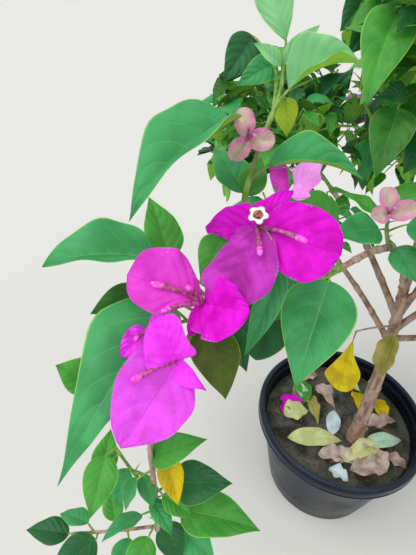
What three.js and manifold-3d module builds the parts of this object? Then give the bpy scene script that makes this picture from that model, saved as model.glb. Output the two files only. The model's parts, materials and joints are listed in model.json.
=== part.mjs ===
// A bougainvillea bush in a round nursery pot, in millimetres, +Z up.
// The origin is the centre of the pot's flat underside. +X is to the right and +Y away from the
// side that carries the arching, flowering cane.
import * as THREE from "three";
import { mergeVertices } from "three/addons/utils/BufferGeometryUtils.js";
import Module from "manifold-3d";

const wasm = await Module();
wasm.setup();

// Driving dimensions
const GAP = 0.3;
const POT = {
  height: 210,
  baseRadius: 105,
  neckRadius: 139,
  rimRadius: 150,
  rimDepth: 24,
  wall: 2.6,
  floor: 4.5,
  sides: 40,
};
const SOIL = { level: 175, dip: 5, flatRadius: 68 };
const BLADE_THICKNESS = 1.7;
const BRACT_THICKNESS = 1.4;
const TWIG_SIDES = 3;
const ROOT_SUNK = 0.4;
const GOLDEN_ANGLE = 137.5;

// The habit of growth that every mass of the crown shares: angles in degrees, and shares of the
// stem's or twig's own length
const HABIT = {
  firstTwig: 0.12, twigSpan: 0.8, turnScatter: 18, spread: [52, 76], lift: 0.12,
  share: 0.8, longest: 150, shortest: 25, arch: 0.08, nod: 0.05, twigRadius: [1.7, 1.1],
  firstLeaf: 0.22, leafSpacing: 21, leafTurn: 25, leafForward: 0.55, leafOut: 0.8,
  leafDroop: [0.1, 0.4], leafSize: [0.8, 1.2], leafRoll: 28, leafRatio: 0.62,
  bractTurn: 15, bractLength: [40, 48], bractWidth: [34, 40],
};

// Limbs in the order they leave the plant. radius: [at the foot, at the tip]
const LIMBS = {
  trunk: {
    path: [[25.5, -33, SOIL.level - 12], [19, -31, 350], [9, -31, 465], [0, -32, 530]],
    radius: [12.5, 6.4], flare: 6, sides: 12, steps: 12,
  },
  leader: { path: [[0, -32, 526], [6, -16, 610], [14, 6, 690]], radius: [5.6, 4] },
  front_bough: { path: [[4, -32, 512], [-32, -66, 588], [-77, -110, 640]], radius: [5.4, 3.9] },
  front_cane: { path: [[-76, -109, 639], [-114, -149, 657], [-149, -184, 663]], radius: [3.8, 2.6] },
  back_bough: { path: [[6, -31, 492], [34, 40, 556], [60, 112, 615]], radius: [5.2, 3.6] },
  back_left_bough: { path: [[8, -31, 474], [-46, 28, 560], [-92, 84, 610]], radius: [5, 3.4] },
  right_bough: { path: [[11, -31, 450], [66, -36, 534], [112, -42, 588]], radius: [5, 3.4] },
  back_right_bough: { path: [[9, -31, 484], [62, 10, 550], [112, 58, 592]], radius: [4.8, 3.4] },
  front_upper_bough: { path: [[4, -33, 506], [12, -62, 552], [14, -92, 590]], radius: [4.4, 3.2] },
  left_bough: { path: [[13, -31, 424], [-42, -16, 496], [-84, 4, 542]], radius: [4.6, 3.2] },
  front_right_bough: { path: [[13, -31, 432], [56, -84, 492], [86, -124, 530]], radius: [4.6, 3.2] },
};

// Masses of foliage round the crown. Each grows from the tip of its limb and keeps to its own
// ellipsoid, given by its centre and its half-axes.
const CROWN = {
  top_foliage: {
    limb: "leader", centre: [15, 15, 800], reach: [165, 160, 118],
    twigs: 11, leaf: 78, blooms: [2, 7], seed: 11,
  },
  back_foliage: {
    limb: "back_bough", centre: [60, 205, 670], reach: [150, 140, 145],
    twigs: 10, leaf: 80, blooms: [4, 8], seed: 23,
  },
  back_right_foliage: {
    limb: "back_right_bough", centre: [190, 125, 620], reach: [120, 120, 120],
    twigs: 9, leaf: 76, blooms: [3, 6], seed: 29,
  },
  back_left_foliage: {
    limb: "back_left_bough", centre: [-160, 155, 655], reach: [140, 135, 130],
    twigs: 10, leaf: 78, blooms: [], seed: 37,
  },
  right_foliage: {
    limb: "right_bough", centre: [195, -40, 660], reach: [135, 130, 135],
    twigs: 10, leaf: 78, blooms: [3, 8], seed: 41,
  },
  left_foliage: {
    limb: "left_bough", centre: [-150, 10, 565], reach: [115, 110, 100],
    twigs: 9, leaf: 70, blooms: [], seed: 53,
  },
  front_right_foliage: {
    limb: "front_right_bough", centre: [125, -185, 560], reach: [130, 120, 115],
    twigs: 10, leaf: 76, blooms: [2, 7], seed: 67,
  },
  front_foliage: {
    limb: "front_upper_bough", centre: [22, -150, 660], reach: [88, 100, 95],
    twigs: 8, leaf: 68, blooms: [4], seed: 71,
  },
};

// The sprays at the end of the arching cane. A leaf is
// [along its shoot, [stalk length, heading, rise], [blade length, heading, rise], width, roll],
// a bloom is {on, at, stalk, bracts: [[length, heading, rise, width, roll]]}.
// Headings turn from +X towards +Y and rises are above the level, both in degrees.
const SPRAYS = {
  flowering_spray: {
    limb: "front_cane",
    shoots: {
      shoot: {
        path: [[-149, -184, 663], [-191, -213, 688], [-231, -224, 712], [-236, -210, 736],
          [-227, -191, 769], [-218, -177, 794], [-216, -165, 817]],
        radius: [2.5, 1.3], steps: 12,
      },
      back_twig: {
        path: [[-237, -208, 729], [-259, -177, 745], [-261, -157, 762]], radius: [1.5, 1.1], steps: 4,
      },
    },
    leaves: {
      shoot: [
        [0.07, [36, -110, 14], [80, -110, -24], 52, 0],
        [0.02, [38, 119, 73], [56, -166, 28], 34, -36],
        [0.36, [18, -58, -25], [40, -90, -43], 31, 10],
        [0.45, [17, -62, -27], [63, -95, -31], 38, -38],
        [0.46, [19, -166, 14], [36, -115, -30], 24, -20],
        [0.56, [3, -159, -3], [31, -149, -16], 21, -50],
        [0.58, [8, 78, -6], [32, 67, 38], 20, 18],
        [0.59, [7, 102, -7], [45, 122, 25], 27, -8],
        [0.63, [15, -7, 51], [62, -18, 5], 36, 40],
        [0.76, [25, -169, 36], [99, -132, -22], 57, 2],
        [0.82, [37, 71, 0], [24, -66, -63], 15, 22],
        [0.85, [15, 26, 58], [46, 3, 20], 29, 66],
        [0.99, [4, 101, 71], [40, 147, 63], 24, -48],
        [0.99, [5, -91, -5], [45, -102, 3], 33, -20],
      ],
      back_twig: [
        [1, [26, 52, 38], [34, 1, 33], 23, 66],
        [1, [30, 74, 31], [50, 64, 36], 29, 13],
      ],
    },
    blooms: [
      {
        on: "shoot", at: 0.5, stalk: [27, -86, 51],
        bracts: [[57, -45, -6, 45, 50], [40, -146, 15, 38, -60], [53, -98, -26, 44, 0]],
      },
      {
        on: "shoot", at: 0.48, stalk: [30, 20, 47],
        bracts: [[34, 105, 33, 19, -25], [46, 57, 25, 25, 24]],
      },
      {
        on: "shoot", at: 0.72, stalk: [16, -122, 30],
        bracts: [[19, -164, 62, 12, -40], [17, -60, 40, 11, 20]],
      },
    ],
  },
  drooping_spray: {
    limb: "front_cane",
    shoots: {
      shoot: {
        path: [[-145, -180, 661], [-177, -204, 663], [-212, -227, 674], [-254, -243, 673], [-275, -261, 629],
          [-296, -280, 565], [-296, -289, 520], [-294, -296, 482], [-292, -305, 443]],
        radius: [2.6, 1.9], steps: 16,
      },
      low_twig: {
        path: [[-294, -294, 485], [-312, -286, 505], [-328, -278, 532]], radius: [1.7, 1.2], steps: 4,
      },
      out_twig: {
        path: [[-292, -304, 448], [-330, -306, 438], [-372, -305, 424]], radius: [1.6, 1.1], steps: 4,
      },
    },
    leaves: {
      shoot: [
        [0.30, [30, -62, -59], [28, -50, -44], 17, 0],
        [0.33, [44, 173, 49], [82, -171, 8], 48, 0],
        [0.33, [23, -107, -34], [50, -60, -45], 34, 20],
        [0.35, [41, 153, 36], [47, 120, 45], 28, 0],
        [0.38, [46, 175, 25], [38, -159, -18], 26, -45],
        [0.41, [46, -137, 57], [118, -122, -31], 66, 22],
        [0.57, [53, -162, 31], [40, -163, 53], 25, -50],
        [0.75, [4, 103, 46], [51, 0, 33], 31, 6],
        [0.77, [26, 69, -47], [37, -76, -54], 21, -8],
        [0.82, [34, 149, -27], [38, -112, -50], 23, 5],
        [0.87, [17, 16, 3], [55, -10, 23], 36, 27],
        [0.89, [5, -134, 42], [33, -49, -19], 19, -15],
        [0.92, [22, 12, -11], [76, -15, 16], 45, 0],
        [1, [9, 43, 17], [38, -60, -31], 28, 8],
        [1, [22, 25, -27], [47, -33, -18], 32, 17],
      ],
      low_twig: [
        [1, [10, -133, 9], [45, -98, -29], 28, -15],
        [0.9, [24, -149, -43], [36, 81, 39], 23, 18],
      ],
      out_twig: [
        [0.7, [8, -90, 20], [40, -142, -6], 30, -20],
        [1, [6, 180, -20], [42, 178, 2], 25, 0],
      ],
    },
    blooms: [
      {
        on: "shoot", at: 0.32, stalk: [35, -103, 32],
        bracts: [[52, -174, 23, 46, -50], [42, -45, 4, 44, 40], [24, -130, -50, 14, -29]],
      },
      {
        on: "shoot", at: 0.39, stalk: [45, -102, 12],
        bracts: [[60, -119, -27, 50, -20], [36, 141, 67, 35, -32], [32, -37, -15, 22, 30]],
      },
      { on: "shoot", at: 0.39, stalk: [38, -144, 21], bracts: [[24, -153, -9, 21, -40]] },
    ],
  },
  side_spray: {
    limb: "front_bough",
    shoots: {
      shoot: { path: [[-79, -108, 640], [-84, -104, 656], [-92, -110, 684]], radius: [2, 1.2], steps: 5 },
    },
    leaves: {
      shoot: [
        [0.35, [16, -140, 20], [56, -158, 4], 37, -26],
        [0.3, [20, -10, 35], [60, -40, 5], 40, 30],
        [0.15, [12, -40, -25], [40, -58, -32], 31, 30],
        [0.7, [10, 60, 10], [46, 40, 30], 29, 10],
        [0.55, [10, 160, 25], [44, 150, 20], 28, 0],
      ],
    },
    blooms: [
      {
        on: "shoot", at: 1, stalk: [12, -70, 60],
        bracts: [[26, -20, 60, 17, 0], [24, -80, 20, 16, 20], [24, 160, 50, 15, 0]],
      },
    ],
  },
};

const COLOURS = {
  pot: [0x20272e, 0.45],
  soil: [0x4a3d33, 0.95],
  bark: [0x7d6a55, 0.85],
  leaf: [0x3f7d3a, 0.55],
  spray: [0x6a8a4a, 0.55],
};

// Directions, curves and the seeded dice
const radians = THREE.MathUtils.degToRad;
const UP = new THREE.Vector3(0, 0, 1);

function vector(place) {
  return new THREE.Vector3(...place);
}

function direction(heading, rise) {
  const level = Math.cos(radians(rise));
  return new THREE.Vector3(
    level * Math.cos(radians(heading)),
    level * Math.sin(radians(heading)),
    Math.sin(radians(rise)),
  );
}

function throughPoints(path) {
  return new THREE.CatmullRomCurve3(path.map(vector), false, "catmullrom", 0.5);
}

function dice(seed) {
  let state = seed;
  return (low, high) => {
    state = (state * 1664525 + 1013904223) % 4294967296;
    return low + ((high - low) * state) / 4294967296;
  };
}

// The side of a line seen along it, and the way up across it.
function acrossFrame(along) {
  const side = along.clone().cross(UP);
  if (side.lengthSq() < 1e-4) side.set(1, 0, 0);
  side.normalize();
  return { side, over: side.clone().cross(along).normalize() };
}

// The way a blade faces: as nearly up as its direction allows, turned about it by roll.
function facingUp(along, roll) {
  return acrossFrame(along).over.applyAxisAngle(along, radians(roll));
}

// Closed shapes: a tapered limb along a curve, and a thin blade
function taperedLimb(curve, radiusAt, sides, steps) {
  const body = new THREE.CylinderGeometry(1, 1, 1, sides, steps);
  const frames = curve.computeFrenetFrames(steps);
  const place = body.attributes.position;
  for (let i = 0; i < place.count; i += 1) {
    const row = Math.round((place.getY(i) + 0.5) * steps);
    const radius = radiusAt(row / steps);
    const point = curve.getPointAt(row / steps);
    point.addScaledVector(frames.binormals[row], place.getX(i) * radius);
    point.addScaledVector(frames.normals[row], place.getZ(i) * radius);
    place.setXYZ(i, point.x, point.y, point.z);
  }
  return body;
}

function limbShape({ path, radius, flare = 0, sides = 7, steps = 6 }, swell = 0) {
  const curve = throughPoints(path);
  const flareLength = 20;
  const radiusAt = (t) => {
    const taper = THREE.MathUtils.lerp(radius[0], radius[1], t);
    return taper + flare * Math.exp((-t * curve.getLength()) / flareLength) + swell;
  };
  return taperedLimb(curve, radiusAt, sides, steps);
}

function twigShape(curve, radius, steps) {
  return taperedLimb(curve, (t) => THREE.MathUtils.lerp(radius[0], radius[1], t), TWIG_SIDES, steps);
}

// Where a blade is wide, as [share of its length, share of its width] for each row.
const SIMPLE_OUTLINE = [[0, 0], [0.42, 1], [1, 0]];
const LEAF_OUTLINE = [[0, 0.04], [0.27, 0.95], [0.66, 0.78], [1, 0]];
const BRACT_OUTLINE = [[0, 0.05], [0.34, 0.96], [0.78, 0.82], [1, 0]];

// A closed skin of four-sided rings, from a point at its foot to a point at its tip. Each ring is
// {at, half, thick}: its place on the centre line, its half width and its thickness.
function skinOfRings(rings, side, facing, fold) {
  const body = new THREE.SphereGeometry(1, 4, rings.length - 1);
  const place = body.attributes.position;
  for (let i = 0; i < place.count; i += 1) {
    const polar = Math.acos(THREE.MathUtils.clamp(place.getY(i), -1, 1));
    const ring = rings[Math.round((polar / Math.PI) * (rings.length - 1))];
    const onEdge = Math.hypot(place.getX(i), place.getZ(i)) > 1e-6;
    const across = onEdge ? Math.sign(Math.round(2 * place.getX(i))) * ring.half : 0;
    const lift = onEdge ? Math.sign(Math.round(2 * place.getZ(i))) * (ring.thick / 2) : 0;
    const point = ring.at.clone().addScaledVector(side, across);
    point.addScaledVector(facing, lift + fold * Math.abs(across));
    place.setXYZ(i, point.x, point.y, point.z);
  }
  return body;
}

// A blade that bows up between its foot and its tip. With a stalk, the skin starts at the foot of
// that, inside the shoot, so a leaf or bract is one body with its stalk.
function bladeShape(blade) {
  const { base, along, facing, length, width, thickness, outline, fold = 0.2, bow = 0.05, foot = null } = blade;
  const side = facing.clone().cross(along).normalize();
  const lift = (t) => bow * length * 4 * t * (1 - t);
  const rings = outline.map(([t, share]) => ({
    at: base.clone().addScaledVector(along, t * length).addScaledVector(facing, lift(t)),
    half: (share * width) / 2,
    thick: thickness,
  }));
  if (foot) {
    const inward = foot.clone().sub(base).normalize();
    const stalkHalf = 1.1;
    rings.unshift(
      { at: foot.clone().addScaledVector(inward, 0.6), half: 0, thick: 0 },
      { at: foot.clone().addScaledVector(inward, -1.2), half: stalkHalf, thick: thickness },
    );
  }
  return skinOfRings(rings, side, facing, fold);
}

// Solids and how they are joined and cut
function toSolid(geometry) {
  geometry.deleteAttribute("normal");
  geometry.deleteAttribute("uv");
  const merged = mergeVertices(geometry, 1e-4);
  const vertProperties = merged.attributes.position.array;
  const triVerts = new Uint32Array(merged.index.array);
  return new wasm.Manifold(new wasm.Mesh({ numProp: 3, vertProperties, triVerts }));
}

function toGeometry(solid) {
  const mesh = solid.getMesh();
  const places = new Float32Array(mesh.numVert * 3);
  for (let i = 0; i < mesh.numVert; i += 1) {
    places.set(mesh.vertProperties.subarray(i * mesh.numProp, i * mesh.numProp + 3), i * 3);
  }
  const geometry = new THREE.BufferGeometry();
  geometry.setAttribute("position", new THREE.BufferAttribute(places, 3));
  geometry.setIndex(new THREE.BufferAttribute(new Uint32Array(mesh.triVerts), 1));
  geometry.computeVertexNormals();
  return geometry;
}

function boxesMeet(a, b) {
  return a.min.every((low, k) => low < b.max[k] && b.min[k] < a.max[k]);
}

// A solid with its box, so that only near neighbours are tested against each other.
function boxed(solid) {
  return { solid, box: solid.boundingBox() };
}

function meets(piece, others) {
  return others.some((other) => boxesMeet(piece.box, other.box)
    && piece.solid.intersect(other.solid).volume() > 0);
}

// The pieces as one body: loose scraps are dropped and sealed hollows are filled.
function fuse(pieces) {
  const joined = pieces.reduce((sum, piece) => (sum ? sum.add(piece) : piece), null);
  return largest(joined);
}

function largest(solid) {
  const parts = solid.decompose();
  return parts.reduce((best, part) => (part.volume() > best.volume() ? part : best));
}

function addNode(group, name, geometry, [colour, roughness]) {
  const material = new THREE.MeshStandardMaterial({ color: colour, roughness, metalness: 0 });
  const mesh = new THREE.Mesh(geometry, material);
  mesh.name = name;
  group.add(mesh);
}

// Pot: a tapered wall, a deep rolled rim with a step under it, and a flat floor
function potGeometry() {
  const { height, baseRadius, neckRadius, rimRadius, rimDepth, wall, floor, sides } = POT;
  const neck = height - rimDepth;
  const profile = [
    [0, 0],
    [baseRadius - 3, 0],
    [baseRadius, 3],
    [neckRadius, neck],
    [rimRadius - 2, neck],
    [rimRadius, neck + 3],
    [rimRadius, height - 5],
    [rimRadius - 2.5, height - 1],
    [rimRadius - 7, height],
    [neckRadius + 0.5, height - 2],
    [neckRadius - wall, neck - 3],
    [baseRadius - wall, floor],
    [0, floor],
  ];
  const pot = new THREE.LatheGeometry(profile.map(([r, z]) => new THREE.Vector2(r, z)), sides);
  return pot.rotateX(Math.PI / 2);
}

// Potting mix: fills the pot to 35 mm under its rim, flat round the trunk and lower at the wall
function soilGeometry() {
  const { height, baseRadius, neckRadius, rimDepth, wall, floor, sides } = POT;
  const { level, dip, flatRadius } = SOIL;
  const slope = (neckRadius - baseRadius) / (height - rimDepth - 3 - floor);
  const innerRadius = (z) => baseRadius - wall + slope * (z - floor) - GAP;
  const profile = [
    [0, floor + GAP],
    [innerRadius(floor) - GAP, floor + GAP],
    [innerRadius(level - dip), level - dip],
    [flatRadius, level],
    [0, level],
  ];
  const soil = new THREE.LatheGeometry(profile.map(([r, z]) => new THREE.Vector2(r, z)), sides);
  return soil.rotateX(Math.PI / 2);
}

// Limbs: the trunk's foot is cut flat just over the soil, and each bough is cut 0.3 mm clear of
// the limbs that it grows from
function growLimbs() {
  const grown = {};
  const clearance = [];
  const groundBlock = new THREE.BoxGeometry(200, 200, 100);
  const ground = toSolid(groundBlock.translate(0, 0, SOIL.level + GAP - 50));
  for (const [name, limb] of Object.entries(LIMBS)) {
    const whole = toSolid(limbShape(limb)).subtract(ground);
    grown[name] = largest(clearance.reduce((rest, other) => rest.subtract(other), whole));
    clearance.push(toSolid(limbShape(limb, GAP)));
  }
  return { grown, clearance: clearance.map(boxed) };
}

// A placed leaf, with a stalk that leaves its shoot at a share of the shoot's length.
function placedLeaf(curve, [at, stalk, blade, width, roll]) {
  const foot = curve.getPointAt(at);
  const [stalkLength, stalkHeading, stalkRise] = stalk;
  const [length, heading, rise] = blade;
  const along = direction(heading, rise);
  return toSolid(bladeShape({
    base: foot.clone().addScaledVector(direction(stalkHeading, stalkRise), stalkLength),
    along,
    facing: facingUp(along, roll),
    length,
    width,
    thickness: BLADE_THICKNESS,
    outline: LEAF_OUTLINE,
    foot,
  }));
}

// A bloom: a stalk that carries broad bracts round one point.
function placedBloom(curve, { at, stalk, bracts }) {
  const foot = curve.getPointAt(at);
  const [stalkLength, heading, rise] = stalk;
  const heart = foot.clone().addScaledVector(direction(heading, rise), stalkLength);
  const carrier = toSolid(twigShape(new THREE.LineCurve3(foot, heart), [1.2, 1.4], 1));
  const blades = bracts.map(([length, bractHeading, bractRise, width, roll]) => {
    const along = direction(bractHeading, bractRise);
    return toSolid(bladeShape({
      base: heart.clone().addScaledVector(along, 3),
      along,
      facing: facingUp(along, roll),
      length: length - 3,
      width,
      thickness: BRACT_THICKNESS,
      outline: BRACT_OUTLINE,
      fold: 0.1,
      foot: heart,
    }));
  });
  return [carrier, ...blades];
}

function placedSpray(spray) {
  const pieces = [];
  const curves = {};
  for (const [name, { path, radius, steps }] of Object.entries(spray.shoots)) {
    curves[name] = throughPoints(path);
    pieces.push(toSolid(twigShape(curves[name], radius, steps)));
  }
  for (const [name, leaves] of Object.entries(spray.leaves)) {
    for (const leaf of leaves) pieces.push(placedLeaf(curves[name], leaf));
  }
  for (const bloom of spray.blooms) pieces.push(...placedBloom(curves[bloom.on], bloom));
  return pieces;
}

// The share of a mass's reach at which a point lies: 1 is on its outline.
function shareOfReach(point, { centre, reach }) {
  return Math.hypot(...["x", "y", "z"].map((axis, k) => (point[axis] - centre[k]) / reach[k]));
}

// True where a point lies in this mass's own part of the crown.
function inOwnSpace(point, mass) {
  const own = shareOfReach(point, mass);
  return own < 1 && Object.values(CROWN).every(
    (other) => other === mass || shareOfReach(point, other) > own + 0.03,
  );
}

function wayToOutline(from, along, mass) {
  let length = 0;
  while (length < 200 && inOwnSpace(from.clone().addScaledVector(along, length + 5), mass)) length += 5;
  return length;
}

// The rule of growth. A stem curves from the limb's tip through the middle of the space. Twigs
// leave it a golden angle apart, and leaves leave each twig in the same way, facing the light.
function growMass(mass) {
  const limb = LIMBS[mass.limb];
  const limbCurve = throughPoints(limb.path);
  const heading = limbCurve.getTangentAt(1);
  const root = limbCurve.getPointAt(1).addScaledVector(heading, -2);
  const centre = vector(mass.centre);
  const across = centre.clone().sub(root);
  const stem = new THREE.QuadraticBezierCurve3(
    root,
    root.clone().addScaledVector(heading, 0.6 * across.length()),
    centre.clone().addScaledVector(across.clone().normalize(), 0.55 * Math.min(...mass.reach)),
  );
  const stemRadius = [limb.radius[1] * 0.8, 1.4];
  const twigs = [{ curve: stem, radius: stemRadius, steps: 5, leaves: [0.9, 1], roll: dice(mass.seed) }];
  for (let k = 0; k < mass.twigs; k += 1) {
    const twig = growTwig(stem, k, mass);
    if (twig) twigs.push(twig);
  }
  return twigs;
}

function growTwig(stem, k, mass) {
  const roll = dice(mass.seed * 1000 + k);
  const at = HABIT.firstTwig + (HABIT.twigSpan * (k + 0.5)) / mass.twigs;
  const tangent = stem.getTangentAt(at);
  const { side, over } = acrossFrame(tangent);
  const turn = radians(k * GOLDEN_ANGLE + mass.seed * 10 + roll(-HABIT.turnScatter, HABIT.turnScatter));
  const spread = radians(roll(...HABIT.spread));
  const along = tangent.clone().multiplyScalar(Math.cos(spread));
  along.addScaledVector(side, Math.cos(turn) * Math.sin(spread));
  along.addScaledVector(over, Math.sin(turn) * Math.sin(spread));
  along.z += HABIT.lift;
  along.normalize();
  const from = stem.getPointAt(at);
  const length = Math.min(HABIT.share * wayToOutline(from, along, mass), HABIT.longest);
  if (length < HABIT.shortest) return null;
  const middle = from.clone().addScaledVector(along, 0.55 * length).addScaledVector(UP, HABIT.arch * length);
  const end = from.clone().addScaledVector(along, length).addScaledVector(UP, -HABIT.nod * length);
  const count = Math.max(2, Math.round(length / HABIT.leafSpacing));
  const leaves = Array.from({ length: count }, (_, j) => (
    HABIT.firstLeaf + ((1 - HABIT.firstLeaf) * j) / (count - 1)
  ));
  const curve = new THREE.QuadraticBezierCurve3(from, middle, end);
  return { curve, radius: HABIT.twigRadius, steps: 3, leaves, roll, bloom: mass.blooms.includes(k) };
}

function leafOnTwig({ curve, leaves, roll }, j, mass) {
  const atTip = leaves[j] > 0.97;
  const tangent = curve.getTangentAt(leaves[j]);
  const { side, over } = acrossFrame(tangent);
  const turn = radians(j * GOLDEN_ANGLE + roll(-HABIT.leafTurn, HABIT.leafTurn));
  const along = tangent.clone().multiplyScalar(atTip ? 1 : HABIT.leafForward);
  const out = atTip ? 0.2 : HABIT.leafOut;
  along.addScaledVector(side, out * Math.cos(turn)).addScaledVector(over, out * Math.sin(turn));
  along.z -= roll(...HABIT.leafDroop);
  along.normalize();
  const length = mass.leaf * roll(...HABIT.leafSize);
  return {
    base: curve.getPointAt(leaves[j]).addScaledVector(along, -ROOT_SUNK),
    along,
    facing: facingUp(along, roll(-HABIT.leafRoll, HABIT.leafRoll)),
    length,
    width: HABIT.leafRatio * length,
    thickness: BLADE_THICKNESS,
    outline: SIMPLE_OUTLINE,
  };
}

function bractsOnTwig({ curve, roll }) {
  const heart = curve.getPointAt(1);
  const tangent = curve.getTangentAt(1);
  const { side, over } = acrossFrame(tangent);
  return [0, 1, 2].map((k) => {
    const turn = radians(k * 120 + roll(-HABIT.bractTurn, HABIT.bractTurn));
    const along = tangent.clone().multiplyScalar(0.6);
    along.addScaledVector(side, 0.8 * Math.cos(turn)).addScaledVector(over, 0.8 * Math.sin(turn)).normalize();
    return {
      base: heart.clone().addScaledVector(along, -ROOT_SUNK),
      along,
      facing: tangent.clone().addScaledVector(along, -tangent.dot(along)).normalize(),
      length: roll(...HABIT.bractLength),
      width: roll(...HABIT.bractWidth),
      thickness: BRACT_THICKNESS,
      outline: SIMPLE_OUTLINE,
      fold: 0.12,
    };
  });
}

// The pieces of one mass. A leaf or bract that leaves the space, or touches a limb, another mass
// or an earlier leaf, is skipped.
function massPieces(mass, standing) {
  const branches = [];
  const blades = [];
  const tryBlade = (shape) => {
    const geometry = bladeShape(shape);
    const place = geometry.attributes.position;
    for (let i = 0; i < place.count; i += 1) {
      if (!inOwnSpace(new THREE.Vector3().fromBufferAttribute(place, i), mass)) return;
    }
    const piece = boxed(toSolid(geometry));
    if (!meets(piece, standing) && !meets(piece, blades)) blades.push(piece);
  };
  growMass(mass).forEach((twig, k) => {
    const branch = boxed(toSolid(twigShape(twig.curve, twig.radius, twig.steps)));
    if (k > 0 && meets(branch, standing)) return;
    branches.push(branch);
    if (twig.bloom) bractsOnTwig(twig).forEach(tryBlade);
    twig.leaves.forEach((_, j) => tryBlade(leafOnTwig(twig, j, mass)));
  });
  return [...branches, ...blades].map((piece) => piece.solid);
}

// The whole plant in its pot
const bush = new THREE.Group();
addNode(bush, "pot", potGeometry(), COLOURS.pot);
addNode(bush, "soil", soilGeometry(), COLOURS.soil);

const { grown, clearance } = growLimbs();
for (const [name, solid] of Object.entries(grown)) addNode(bush, name, toGeometry(solid), COLOURS.bark);

// Each mass is one body, cut clear of the limbs and of the shoots that stand beside it.
const standing = [...clearance];
function addMass(name, pieces, colour, cutters) {
  const body = largest(cutters.reduce((rest, cutter) => rest.subtract(cutter.solid), fuse(pieces)));
  standing.push(boxed(body));
  addNode(bush, name, toGeometry(body), colour);
}

const cutters = [...clearance];
for (const [name, spray] of Object.entries(SPRAYS)) {
  addMass(name, placedSpray(spray), COLOURS.spray, cutters);
  for (const { path, radius, steps } of Object.values(spray.shoots)) {
    const swollen = radius.map((r) => r + 2 * GAP);
    cutters.push(boxed(toSolid(twigShape(throughPoints(path), swollen, steps))));
  }
}
for (const [name, mass] of Object.entries(CROWN)) {
  addMass(name, massPieces(mass, standing), COLOURS.leaf, clearance);
}

export default bush;
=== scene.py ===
# %% [markdown]
# A bougainvillea bush in its nursery pot
#
# One trunk rises from a dark plastic pot and forks into slender boughs. A long cane arches
# towards the viewer and ends in sprays of papery magenta bracts. The bush is made in the order
# that it grows: pot, potting mix, trunk and boughs, then the sprays that are seen close up, and
# then the leafy crown.
#
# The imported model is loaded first. It gives the frame that every piece is placed in, in metres.

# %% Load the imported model
import json
import math

import bmesh
import bpy
import numpy as np
from mathutils import Matrix, Vector, kdtree, noise

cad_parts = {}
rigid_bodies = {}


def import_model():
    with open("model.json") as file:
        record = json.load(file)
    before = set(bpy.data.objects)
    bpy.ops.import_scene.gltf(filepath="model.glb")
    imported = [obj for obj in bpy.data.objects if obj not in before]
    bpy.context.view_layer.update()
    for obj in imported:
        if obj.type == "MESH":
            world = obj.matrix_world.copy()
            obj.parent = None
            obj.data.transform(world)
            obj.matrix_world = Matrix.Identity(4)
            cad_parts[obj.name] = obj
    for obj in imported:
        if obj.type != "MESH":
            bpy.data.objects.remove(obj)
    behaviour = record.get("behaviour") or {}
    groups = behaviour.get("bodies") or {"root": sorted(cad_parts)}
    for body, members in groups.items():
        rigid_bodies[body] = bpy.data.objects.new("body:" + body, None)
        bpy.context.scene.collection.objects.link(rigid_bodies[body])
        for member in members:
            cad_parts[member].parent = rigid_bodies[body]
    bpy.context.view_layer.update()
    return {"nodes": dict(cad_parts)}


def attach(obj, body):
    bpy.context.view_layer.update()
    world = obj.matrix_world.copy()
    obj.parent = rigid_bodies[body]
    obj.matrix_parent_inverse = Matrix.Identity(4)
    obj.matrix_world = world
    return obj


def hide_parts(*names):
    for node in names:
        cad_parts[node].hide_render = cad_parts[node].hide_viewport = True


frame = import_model()
print("solids in the packed model:", len(frame["nodes"]))

# %% [markdown]
# The camera comes before the pieces, because the sprays were measured from this viewpoint. It
# is held above the cane and looks down into the pot. A camera starts looking straight down, so
# it is raised towards the horizon and then rolled. Its lens comes from the picture's focal length
# in pixels, so that a length in the picture and a length on the bush agree.

# %% Camera
CAMERA_PLACE = Vector((-0.258, -0.464, 0.865))
CAMERA_DOWN = math.radians(38)
CAMERA_ROLL = math.radians(3)
FOCAL_PIXELS = 417
LONG_SIDE_PIXELS = 555
SENSOR_WIDTH = 36

camera = bpy.data.objects.new("camera", bpy.data.cameras.new("camera"))
camera.data.sensor_width = SENSOR_WIDTH
camera.data.lens = SENSOR_WIDTH * FOCAL_PIXELS / LONG_SIDE_PIXELS
camera.data.clip_start = 0.01
raised = Matrix.Rotation(math.radians(90) - CAMERA_DOWN, 4, "X")
rolled = Matrix.Rotation(CAMERA_ROLL, 4, "Z")
camera.matrix_world = Matrix.Translation(CAMERA_PLACE) @ raised @ rolled
bpy.context.collection.objects.link(camera)
bpy.context.scene.camera = camera
print("lens:", round(camera.data.lens, 2), "mm")

# %% [markdown]
# Three small helpers serve every material. Colours are written as the hex values that a paint
# program shows, and shaders work in linear light, so the first converts them. The second adds a
# node: its settings are given by name, and its inputs as values, hex colours, or nodes and
# sockets to link. Where a node offers the same input for several data types, the live one is
# used. The third makes a material.

# %% Colours and nodes
def linear(colour):
    """The linear RGBA of an sRGB hex colour such as "#3f7d3a"."""
    shares = [int(colour[i:i + 2], 16) / 255 for i in (1, 3, 5)]
    light = [s / 12.92 if s <= 0.04045 else ((s + 0.055) / 1.055) ** 2.4 for s in shares]
    return (*light, 1)


def add_node(tree, kind, inputs=None, **settings):
    """Adds a node with its settings, and fills or links its inputs, given by name or number."""
    node = tree.nodes.new(kind)
    for name, value in settings.items():
        setattr(node, name, value)
    for key, value in (inputs or {}).items():
        live = [s for s in node.inputs if s.enabled and s.name == key]
        socket = live[0] if live else node.inputs[key]
        if isinstance(value, bpy.types.Node):
            value = next(s for s in value.outputs if s.enabled)
        if isinstance(value, bpy.types.NodeSocket):
            tree.links.new(value, socket)
        else:
            is_colour = isinstance(value, str) and value.startswith("#")
            socket.default_value = linear(value) if is_colour else value
    return node


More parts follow.
